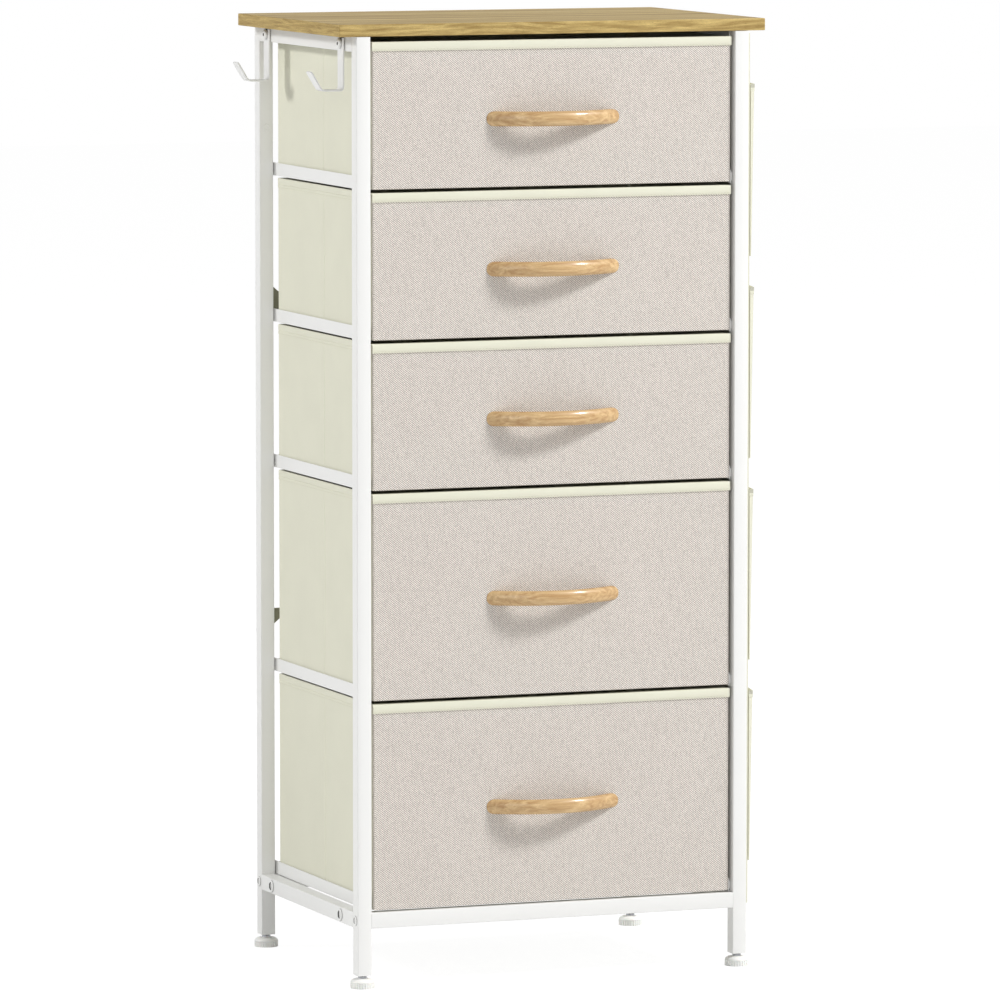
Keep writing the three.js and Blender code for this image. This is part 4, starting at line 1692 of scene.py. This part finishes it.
@dataclass
class FabricDrawer:
    """A fabric box with a stiff linen front, a bound top edge, a loose base and a bow handle.

    Attributes:
        number: Place in the stack, from the top.
        fasteners: What sets the handle's screws.
        stitches: The tree that lays stitches.
        bow: The tree that bends the handle.
        trim_height: Height of the binding over the front's top edge.
        trim_gauge: Thickness of the binding.
        linen_inset: How far the linen stops short of the binding's left end.
        linen_right_inset: How far it stops short of the right end.
        wall: Thickness of the box's walls.
        floor: Thickness of the box's floor.
        corner: Radius of the box's upright corners.
        side_inset: How far the walls stand inside the node's sides.
        hem: Height of the hem round the box.
        hem_rise: How far the hem stands off the wall.
        fold_width: Width of the doubled cloth behind the fold line.
        handle_chord: Distance between the handle's ends on the front.
        handle_rise: How far its middle stands off the front.
        handle_height: Height of its bar.
        handle_thickness: Thickness of its bar.
        handle_overrun: The bar's length before its ends are cut, against the chord.
    """

    number: int
    fasteners: Fasteners
    stitches: ShapeTree
    bow: ShapeTree
    trim_height: float = 9.0 * MM
    trim_gauge: float = 1.3 * MM
    linen_inset: float = 1.1 * MM
    linen_right_inset: float = 0.5 * MM
    wall: float = 1.9 * MM
    floor: float = 1.6 * MM
    corner: float = 1.2 * MM
    side_inset: float = 0.3 * MM
    hem: float = 10.0 * MM
    hem_rise: float = 0.5 * MM
    fold_width: float = 13.0 * MM
    handle_chord: float = 122.6 * MM
    handle_rise: float = 25 * MM
    handle_height: float = 14.8 * MM
    handle_thickness: float = 10.0 * MM
    handle_overrun: float = 1.13

    @property
    def name(self) -> str:
        """The drawer's name, which its body and nodes start with."""
        return f"drawer_{self.number}"

    @property
    def front(self) -> Extent:
        """The extent of the drawer's front."""
        return Extent.of(f"{self.name}_front")

    @property
    def box(self) -> Extent:
        """The extent of the drawer's box."""
        return Extent.of(f"{self.name}_box")

    def panel(self) -> Piece:
        """The stiff board wrapped in linen, under the binding."""
        front = self.front
        top = front.high.z - self.trim_gauge
        low = Vector((front.low.x + self.linen_inset, front.low.y + self.trim_gauge, front.low.z))
        high = Vector((front.high.x - self.linen_right_inset, front.high.y, top))
        work = bmesh.new()
        bmesh.ops.create_cube(work, size=1.0)
        size = high - low
        bmesh.ops.scale(work, vec=size, verts=work.verts)
        bmesh.ops.translate(work, vec=(low + high) / 2, verts=work.verts)
        name = f"{self.name}_linen_front"
        mesh = bpy.data.meshes.new(name)
        work.to_mesh(mesh)
        work.free()
        return bevelled(dress(name, mesh, Finish.LINEN), 1.0 * MM, 3)

    def binding(self) -> Piece:
        """The binding folded over the front's top edge."""
        front = self.front
        gauge, top = self.trim_gauge, front.high.z
        face = front.low.y
        back = self.box.low.y + 0.3 * MM + self.wall + gauge + 0.4 * MM
        drop = top - self.trim_height
        soft = gauge * 0.55
        outline = [
            (face + 0.25 * MM, drop), (face, drop + 0.4 * MM), (face, top - soft),
            (face + soft * 0.3, top - soft * 0.3), (face + soft, top), (back - soft, top),
            (back - soft * 0.3, top - soft * 0.3), (back, top - soft), (back, drop + 0.4 * MM),
            (back - 0.25 * MM, drop), (back - gauge, drop), (back - gauge, top - gauge),
            (face + gauge, top - gauge), (face + gauge, drop),
        ]
        stations = 60
        rings = []
        for station in range(stations + 1):
            x = front.low.x + front.size.x * station / stations
            ring = []
            for y, z in outline:
                sway = noise.noise(Vector((x * 28, self.number * 3.1, 0.0))) * 0.12 * MM
                lift = noise.noise(Vector((x * 55, self.number * 1.7, z * 30))) * 0.12 * MM
                outer = y <= face + 0.3 * MM
                back_off = abs(sway) if outer else 0.0
                sink = min(lift, 0.0) if z > top - gauge else 0.0
                ring.append(Vector((x, y + back_off, z + sink)))
            rings.append(ring)
        draft = Draft()
        draft.loft(rings, capped=False)
        count = len(outline)
        draft.faces.append(tuple(range(count)))
        draft.faces.append(tuple(reversed(range(stations * count, (stations + 1) * count))))
        return draft.made(f"{self.name}_binding", Finish.LINING, 50.0)

    def hem_profile(self, below: float) -> float:
        """How far the box's outer face stands off its wall at a depth under the rim.

        Args:
            below: Depth under the rim.

        Returns:
            The outward shift.
        """
        if below > self.hem:
            return 0.0
        groove = math.exp(-(((below - self.hem * 0.66) / (0.45 * MM)) ** 2))
        return self.hem_rise * (1 - 0.75 * groove)

    def outline(self) -> list[tuple[Vector, Vector, str]]:
        """The box's plan: points, outward normals and the wall that each lies on."""
        box = self.box
        inset = self.side_inset
        low = Vector((box.low.x + inset, box.low.y, 0.0))
        high = Vector((box.high.x - inset, box.high.y - inset, 0.0))
        middle = (low.y + high.y) / 2
        fold = [-8, -4, -2.2, -1.2, -0.6, -0.25, 0.0, 0.25, 0.6, 1.2, 3, 7, 11, 12.4, 13.2, 14.4, 17, 22]
        fine = sorted({round(middle + offset * MM, 6) for offset in fold})
        coarse = [low.y + (high.y - low.y) * step / 14 for step in range(1, 14)]
        side = sorted(fine + [y for y in coarse if not -0.012 < y - middle < 0.026])
        long = [low.x + (high.x - low.x) * step / 16 for step in range(1, 16)]
        points: list[tuple[Vector, Vector, str]] = []

        def corner(x: float, y: float, start: float) -> None:
            """Adds a round corner that turns a quarter from an angle."""
            for step in range(5):
                angle = start + math.pi / 2 * step / 4
                normal = Vector((math.cos(angle), math.sin(angle), 0.0))
                points.append((Vector((x, y, 0.0)) + normal * self.corner, normal, "corner"))

        r = self.corner
        corner(high.x - r, high.y - r, 0.0)
        points.extend((Vector((x, high.y, 0.0)), BACKWARDS, "rear") for x in reversed(long))
        corner(low.x + r, high.y - r, math.pi / 2)
        points.extend((Vector((low.x, y, 0.0)), LEFTWARDS, "side") for y in reversed(side))
        corner(low.x + r, low.y + r, math.pi)
        points.extend((Vector((x, low.y, 0.0)), FORWARDS, "front") for x in long)
        corner(high.x - r, low.y + r, 3 * math.pi / 2)
        points.extend((Vector((high.x, y, 0.0)), RIGHTWARDS, "side") for y in side)
        return points

    def wall_shift(self, point: Vector, wall: str, share: float) -> float:
        """The wall's own relief: its slack, its fold line and the doubled cloth behind it.

        Args:
            point: A point of the plan.
            wall: The wall that it lies on.
            share: Height from 0 at the floor to 1 at the rim.

        Returns:
            The outward shift.
        """
        box = self.box
        slack = math.sin(math.pi * min(max(share, 0.0), 1.0))
        waves = noise.noise(Vector((point.x * 9, point.y * 9, share * 2 + self.number * 5.3)))
        if wall == "rear":
            span = math.cos(math.pi * (point.x - box.centre.x) / box.size.x)
            return -(0.9 * MM * span + 0.35 * MM * waves) * slack
        if wall != "side":
            return 0.0
        middle = box.centre.y - self.side_inset / 2
        behind = point.y - middle
        span = math.cos(math.pi * behind / box.size.y)
        shift = -(0.5 * MM * span + 0.3 * MM * abs(waves)) * slack
        crease = -0.55 * MM * math.exp(-((behind / (0.55 * MM)) ** 2))
        doubled = 0.0
        if 0.0 < behind < self.fold_width:
            doubled = 0.3 * MM * min(1.0, (self.fold_width - behind) / (1.5 * MM))
        fade = min(1.0, max(0.0, (1 - share) * box.size.z / self.hem - 1.0) * 4)
        return shift + (crease + doubled) * fade

    def inward(self, point: Vector, normal: Vector, wall: str, depth: float) -> Vector:
        """A point of the plan moved inwards, with square inner corners where the wall is thicker.

        Args:
            point: A point of the plan.
            normal: Its outward normal.
            wall: The wall that it lies on.
            depth: How far it moves.

        Returns:
            The moved point.
        """
        if wall != "corner" or depth <= self.corner:
            return point - normal * depth
        hub = point - normal * self.corner
        middle = self.box.centre
        outwards = Vector((math.copysign(1.0, hub.x - middle.x), math.copysign(1.0, hub.y - middle.y), 0.0))
        return hub - outwards * (depth - self.corner) + normal * 0.05 * MM

    def shell(self) -> Piece:
        """The fabric box, a thin wall all round over a floor."""
        box = self.box
        height = box.size.z
        plan = self.outline()
        edge = 1.4 * MM
        outer = [0.0, 0.25 * edge, edge]
        outer += [height * share for share in (0.06, 0.12, 0.2, 0.3, 0.4, 0.5, 0.6, 0.7, 0.8, 0.88)]
        outer = [level for level in outer if level < height - self.hem - 2 * MM]
        below = (11.4, 10.4, 10.05, 9.9, 8.6, 7.6, 7.05, 6.6, 6.15, 5.6, 4.0, 2.0, 0.7)
        outer += [height - depth * MM for depth in below]
        rings = []
        for level in outer:
            share = level / height
            rim = self.hem_profile(height - level)
            tuck = edge * (1 - math.sqrt(max(0.0, 1 - (1 - min(level, edge) / edge) ** 2)))
            ring = []
            for point, normal, wall in plan:
                shift = self.wall_shift(point, wall, share) + (0.0 if wall == "front" else rim) - tuck
                ring.append(point + normal * shift + UPWARDS * (box.low.z + level))
            rings.append(ring)
        rings.append([point + UPWARDS * (box.high.z - 0.15 * MM) for point, _, _ in plan])
        inner = [height - 0.15 * MM, height - 0.8 * MM, height - self.hem]
        inner += [height * share for share in (0.8, 0.6, 0.4, 0.2)] + [self.floor + 1.0 * MM, self.floor]
        for number, level in enumerate(inner):
            share = level / height
            ease = 0.0 if number else self.wall * 0.35
            ring = []
            for point, normal, wall in plan:
                shift = self.wall_shift(point, wall, share) if number > 1 else 0.0
                depth = self.wall - ease - shift
                ring.append(self.inward(point, normal, wall, depth) + UPWARDS * (box.low.z + level))
            rings.append(ring)
        return lofted(rings).made(f"{self.name}_cloth_box", Finish.LINING, 50.0)

    def seams(self) -> Piece:
        """The stitches of the hem and of the binding."""
        box, front, plan = self.box, self.front, self.outline()
        runs = []
        for depth in (self.hem * 0.66, self.hem * 0.93):
            level = box.high.z - depth
            stand = self.hem_rise * (0.35 if depth < self.hem * 0.8 else 1.0) - 0.1 * MM
            shift = UPWARDS * level
            run = [point + normal * stand + shift for point, normal, wall in plan if wall != "front"]
            cutoff = next(number for number, (_, _, wall) in enumerate(plan) if wall == "front")
            runs.append(run[cutoff:] + run[:cutoff])
        level = front.high.z - self.trim_height + 1.5 * MM
        back = box.low.y + 0.3 * MM + self.wall + self.trim_gauge + 0.38 * MM
        row = [front.low.x + 3 * MM + (front.size.x - 6 * MM) * step / 40 for step in range(41)]
        runs += [[Vector((x, y, level)) for x in row] for y in (front.low.y - 0.02 * MM, back)]
        return stitched(self.stitches, f"{self.name}_stitches", runs)

    def handle(self) -> Piece:
        """The bow handle."""
        extent = Extent.of(f"{self.name}_handle")
        carrier = bpy.data.meshes.new("handle_carrier")
        sizes = {
            "Chord": self.handle_chord, "Rise": self.handle_rise, "Height": self.handle_height,
            "Thickness": self.handle_thickness, "Overrun": self.handle_overrun,
        }
        piece = self.bow.run(f"{self.name}_bow_handle", carrier, Finish.BOW_WOOD, sizes, 60.0)
        wide, high = self.handle_chord, self.handle_height
        corners = [(-wide, -high), (wide, -high), (wide, high), (-wide, high)]
        behind = lofted([[Vector((x, y, z)) for x, z in corners] for y in (0.0, self.handle_rise)])
        cut(piece, [behind.made("wall_tool", Finish.BOW_WOOD)])
        piece.data.transform(Matrix.Translation((extent.centre.x, extent.high.y, extent.centre.z)))
        map_cloth(piece.data)
        return piece

    def build(self) -> None:
        """Builds and dresses the drawer."""
        kept(self.panel(), f"{self.name}_front", body=self.name, slot=Slot.FRONT)
        kept(self.binding(), f"{self.name}_front", body=self.name, slot=Slot.LINING)
        kept(self.shell(), f"{self.name}_box", body=self.name, slot=Slot.LINING)
        kept(self.seams(), body=self.name, slot=Slot.LINING)
        kept(self.handle(), f"{self.name}_handle", body=self.name, slot=Slot.HANDLE)
        dress_node(f"{self.name}_base", Finish.BOARD, 0.3 * MM)
        handle = Extent.of(f"{self.name}_handle")
        inside = self.box.low.y + self.wall + 0.35 * MM
        reach = self.handle_chord / 2
        ends = (handle.centre.x - reach, handle.centre.x + reach)
        spots = [(Vector((x, inside, handle.centre.z)), BACKWARDS) for x in ends]
        self.fasteners.place(
            f"{self.name}_handle_screws", "dome", spots, Finish.BARE_STEEL, self.name, Slot.HANDLE, 0.62
        )


@dataclass
class PocketOrganiser:
    """A hanging cloth with four bellied pockets, bound and stitched.

    Attributes:
        stitches: The tree that lays stitches.
        fasteners: What sets the rivets.
        cloth: Thickness of the pockets' cloth.
        mouth_side: How far the sides of a pocket's mouth stand off the panel.
        mouth_bow: How far the mouth bellies beyond its sides.
        foot_side: How far the sides of its foot stand off.
        foot_bow: How far the foot bellies.
        groove_width: Width of the fold where a pocket's side meets the panel.
        groove_depth: Depth of that fold.
        lip: Height of the binding round a pocket's mouth.
        panel_bind: Width of the binding round the panel.
    """

    stitches: ShapeTree
    fasteners: Fasteners
    cloth: float = 0.5 * MM
    mouth_side: float = 5.2 * MM
    mouth_bow: float = 19.8 * MM
    foot_side: float = 2.3 * MM
    foot_bow: float = 4.7 * MM
    groove_width: float = 0.8 * MM
    groove_depth: float = 3.0 * MM
    lip: float = 7.0 * MM
    panel_bind: float = 8.0 * MM

    def panel(self) -> Piece:
        """The backing cloth."""
        extent = Extent.of("pocket_panel")
        columns, rows = 40, 110
        draft = Draft()
        sheets = []
        for side, x in ((0, extent.low.x), (1, extent.high.x)):
            grid = []
            for row in range(rows + 1):
                z = extent.low.z + extent.size.z * row / rows
                line = []
                for column in range(columns + 1):
                    y = extent.low.y + extent.size.y * column / columns
                    hang = 1 - row / rows
                    wave = noise.noise(Vector((y * 14, z * 5, 2.0))) * 0.3 * MM * hang
                    bound = min(y - extent.low.y, extent.high.y - y, z - extent.low.z, extent.high.z - z)
                    thin = 0.0 if bound < self.panel_bind else 0.3 * MM
                    shift = (thin if side == 0 else -thin) + max(wave, -0.1 * MM) * 0.4
                    line.append(Vector((x + shift, y, z)))
                grid.append(draft.add(line))
            sheets.append(grid)

        def strip(first: Sequence[int], second: Sequence[int], order: int = 1) -> None:
            """Joins two lines of points with faces."""
            for quad in zip(first, first[1:], second[1:], second):
                draft.faces.append(quad[::order])

        near, far = sheets
        for grid, order in ((near, -1), (far, 1)):
            for lower, upper in zip(grid, grid[1:]):
                strip(lower, upper, order)
        for row in (0, rows):
            strip(near[row], far[row])
        for column in (0, columns):
            strip([line[column] for line in near], [line[column] for line in far])
        made = draft.made("organiser_panel", Finish.LINING, 50.0)
        # Painted shade: the panel's front edge, beside the post, turns darker.
        shade(made, 0.3, lambda face: face.normal.y < -0.7)
        return made

    def reach(self, along: float, height: float, number: int) -> float:
        """How far a pocket stands off the panel.

        Args:
            along: Place from 0 at its front edge to 1 at its rear edge.
            height: Place from 0 at its foot to 1 at its mouth.
            number: The pocket's number, which varies its folds.

        Returns:
            The distance.
        """
        side = self.foot_side + (self.mouth_side - self.foot_side) * height
        bow = self.foot_bow + (self.mouth_bow - self.foot_bow) * height
        belly = math.sin(math.pi * along)
        fold = noise.noise(Vector((along * 7, height * 2.2, number * 4.7))) * 1.3 * MM * belly
        return side + bow * belly + min(fold, 0.2 * MM)

    def pocket(self, number: int) -> Piece:
        """One pocket: a bellied cloth with side gussets and a floor, open at its mouth.

        Args:
            number: The pocket's number from the top.

        Returns:
            The pocket's object.
        """
        extent = Extent.of(f"pocket_{number}")
        back = extent.low.x
        span = extent.size.y
        levels, steps = 22, 36
        heights = [level / levels for level in range(levels + 1)]

        def ring(height: float, z: float, inset: float) -> Ring:
            """The pocket's outline at one height."""
            behind, fold = back + inset * 0.4, back + self.groove_width + min(inset, self.cloth)
            tuck = inset + self.groove_depth
            near = [(behind, tuck), (fold, tuck), (fold, inset)]
            points = [Vector((x, extent.high.y - depth, z)) for x, depth in reversed(near)]
            points += [Vector((x, extent.low.y + depth, z)) for x, depth in near]
            for step in range(steps + 1):
                along = step / steps
                y = extent.low.y + inset + (span - 2 * inset) * along
                out = max(back + self.reach(along, height, number) - inset, fold + 0.1 * MM)
                points.append(Vector((out, y, z)))
            return points

        lip_share = self.lip / extent.size.z
        rings = []
        for height in sorted({*heights, 1 - lip_share - 0.002, 1 - lip_share, 1 - lip_share * 0.55}):
            hem = 0.0 if height > 1 - lip_share - 0.001 else 0.35 * MM
            rings.append(ring(height, extent.low.z + extent.size.z * height, hem))
        rings.append(ring(1.0, extent.high.z, 0.35 * MM + self.cloth * 0.5))
        for height in reversed(heights):
            z = max(extent.low.z + 1.6 * MM, extent.low.z + extent.size.z * height)
            rings.append(ring(height, z - (0.4 * MM if height == 1.0 else 0.0), 0.35 * MM + self.cloth))
        made = lofted(rings).made(f"organiser_pocket_{number}", Finish.LINING, 50.0)
        # Painted shade: the top of each pocket's front and rear sides turns dark, for the shaded inside of
        # its mouth.
        dark_from = extent.high.z - self.lip * 0.5
        shade(made, 1.0, lambda face: abs(face.normal.y) > 0.7 and face.center.z > dark_from)
        return made

    def seams(self) -> Piece:
        """The stitches round the panel and along the pockets' mouths."""
        panel = Extent.of("pocket_panel")
        inset = self.panel_bind * 0.8
        top = panel.high + Vector((-0.05 * MM, 0.0, -inset))
        runs = [[Vector((top.x, y, top.z)) for y in (panel.low.y + inset, panel.high.y - inset)]]
        for number in range(1, POCKET_COUNT + 1):
            pocket = Extent.of(f"pocket_{number}")
            height = 1 - self.lip * 0.8 / pocket.size.z
            z = pocket.low.z + pocket.size.z * height
            run = []
            for step in range(1, 36):
                x = pocket.low.x + self.reach(step / 36, height, number) + 0.02 * MM
                run.append(Vector((x, pocket.low.y + pocket.size.y * step / 36, z)))
            runs.append(run)
        return stitched(self.stitches, "organiser_stitches", runs)

    def build(self) -> None:
        """Builds and dresses the organiser."""
        extent = Extent.of("pocket_panel")
        panel = kept(self.panel(), "pocket_panel", slot=Slot.ORGANISER)
        for number in range(1, POCKET_COUNT + 1):
            kept(self.pocket(number), f"pocket_{number}", slot=Slot.ORGANISER)
        kept(self.seams(), slot=Slot.ORGANISER)
        face, level = extent.high.x - 0.1 * MM, extent.high.z - 4.5 * MM
        places = [extent.centre.y + way * extent.size.y * 0.42 for way in (-1, 0, 1)]
        spots = [(Vector((face, y, level)), RIGHTWARDS) for y in places]
        self.fasteners.place("organiser_rivets", "dome", spots, slot=Slot.ORGANISER, scale=0.55)


@dataclass
class Studio:
    """Pale floor, soft lights and the photograph's camera.

    Attributes:
        place: Where the camera stands.
        yaw: Turn towards +X, in degrees.
        pitch: Tilt down, in degrees.
        focal_pixels: Focal length in pixels of the picture.
        picture: Width of the picture in pixels.
        sensor: Width of the camera's sensor in millimetres.
        ambient: Strength of the light from all round.
        lamp_distance: How far the lamps stand from the dresser's middle.
    """

    place: tuple[float, float, float] = (-2.900392, -7.535500, 1.276950)
    yaw: float = 21.0609
    pitch: float = 5.7492
    focal_pixels: float = 8073.0
    picture: int = 1000
    sensor: float = 36.0
    ambient: float = 0.346
    lamp_distance: float = 6.0

    def camera(self) -> None:
        """Sets up the camera."""
        data = bpy.data.cameras.new("camera")
        data.sensor_width = self.sensor
        data.lens = self.focal_pixels / self.picture * self.sensor
        data.clip_end = 100.0
        made = added("camera", data)
        made.location = self.place
        made.rotation_euler = (math.radians(90 - self.pitch), 0.0, math.radians(-self.yaw))
        bpy.context.scene.camera = made

    def lamp(self, name: str, direction: Sequence[float], size: float, power: float) -> None:
        """Adds a soft square lamp that looks at the dresser's middle.

        Args:
            name: The lamp's name.
            direction: Where it stands, as seen from the dresser.
            size: Its side.
            power: Its power in watts.
        """
        data = bpy.data.lights.new(name, "AREA")
        data.shape = "SQUARE"
        data.size = size
        data.energy = power
        made = added(name, data)
        away = Vector(direction).normalized()
        made.location = UPWARDS * 0.5 + away * self.lamp_distance
        made.rotation_euler = (-away).to_track_quat("-Z", "Y").to_euler()

    def seen(self, graph: Graph) -> Socket:
        """One where a ray comes from the camera, a mirror or a glass, and nothing elsewhere."""
        path = graph.node("ShaderNodeLightPath").outputs
        total = graph.math("MAXIMUM", path["Is Camera Ray"], path["Is Glossy Ray"])
        return graph.math("MAXIMUM", total, path["Is Transmission Ray"])

    def world(self) -> None:
        """Lights the scene softly from all round, and shows white behind it."""
        world = bpy.data.worlds.new("studio")
        world.use_nodes = True
        world.node_tree.nodes.clear()
        graph = Graph(world.node_tree)
        soft = graph.node("ShaderNodeBackground", {"Color": WHITE, "Strength": self.ambient})
        white = graph.node("ShaderNodeBackground", {"Color": WHITE, "Strength": 1.0})
        mixed = graph.node("ShaderNodeMixShader", {0: self.seen(graph), 1: soft, 2: white})
        graph.node("ShaderNodeOutputWorld", {"Surface": mixed})
        bpy.context.scene.world = world

    def floor(self) -> None:
        """Lays the pale floor, which keeps the dresser's shadow."""
        graph = Shading("pale_floor")
        plain = graph.node("ShaderNodeBsdfDiffuse", {"Color": rgba((0.85, 0.85, 0.85))})
        shadow = graph.node("ShaderNodeBsdfDiffuse", {"Color": rgba((0.16, 0.16, 0.16))})
        glow = graph.node("ShaderNodeEmission", {"Color": WHITE, "Strength": 0.935})
        lit = graph.node("ShaderNodeAddShader", {0: shadow, 1: glow})
        mixed = graph.node("ShaderNodeMixShader", {0: self.seen(graph), 1: plain, 2: lit})
        graph.node("ShaderNodeOutputMaterial", {"Surface": mixed})
        reach, level = 14.0, -0.05 * MM
        mesh = bpy.data.meshes.new("floor")
        corners = [(x * reach, y * reach, level) for x, y in ((-1, -1), (1, -1), (1, 1), (-1, 1))]
        mesh.from_pydata(corners, [], [(0, 1, 2, 3)])
        mesh.materials.append(graph.material)
        made = added("floor", mesh)

    def build(self) -> None:
        """Sets up the whole studio."""
        bpy.context.scene.view_settings.view_transform = "Standard"
        self.camera()
        self.world()
        self.floor()
        self.lamp("key", (0.645, -0.444, 0.622), 0.95, 303.0)
        self.lamp("fill", (-0.45, -0.85, 0.25), 2.5, 42.0)
        self.lamp("side", (-0.842, 0.290, 0.454), 0.75, 127.0)


def main() -> None:
    """Builds the dresser's looks, group by group."""
    logging.basicConfig(level=logging.INFO, format="%(name)s: %(message)s")
    Studio().build()
    fasteners = Fasteners()
    stitches, bow = stitch_tree(), bow_tree()
    SteelFrame(fasteners).build()
    WoodTop().build()
    for name in ("hook_front", "hook_rear"):
        StripHook(name).build()
    for end in ENDS:
        for side in SIDES:
            LevellingFoot(f"foot_{end}_{side}").build()
            dress_node(f"plug_{end}_{side}", Finish.PLUG)
    for number in range(1, DRAWER_COUNT + 1):
        FabricDrawer(number, fasteners, stitches, bow).build()
    PocketOrganiser(stitches, fasteners).build()
    fasteners.clear()


if __name__ == "__main__":
    main()
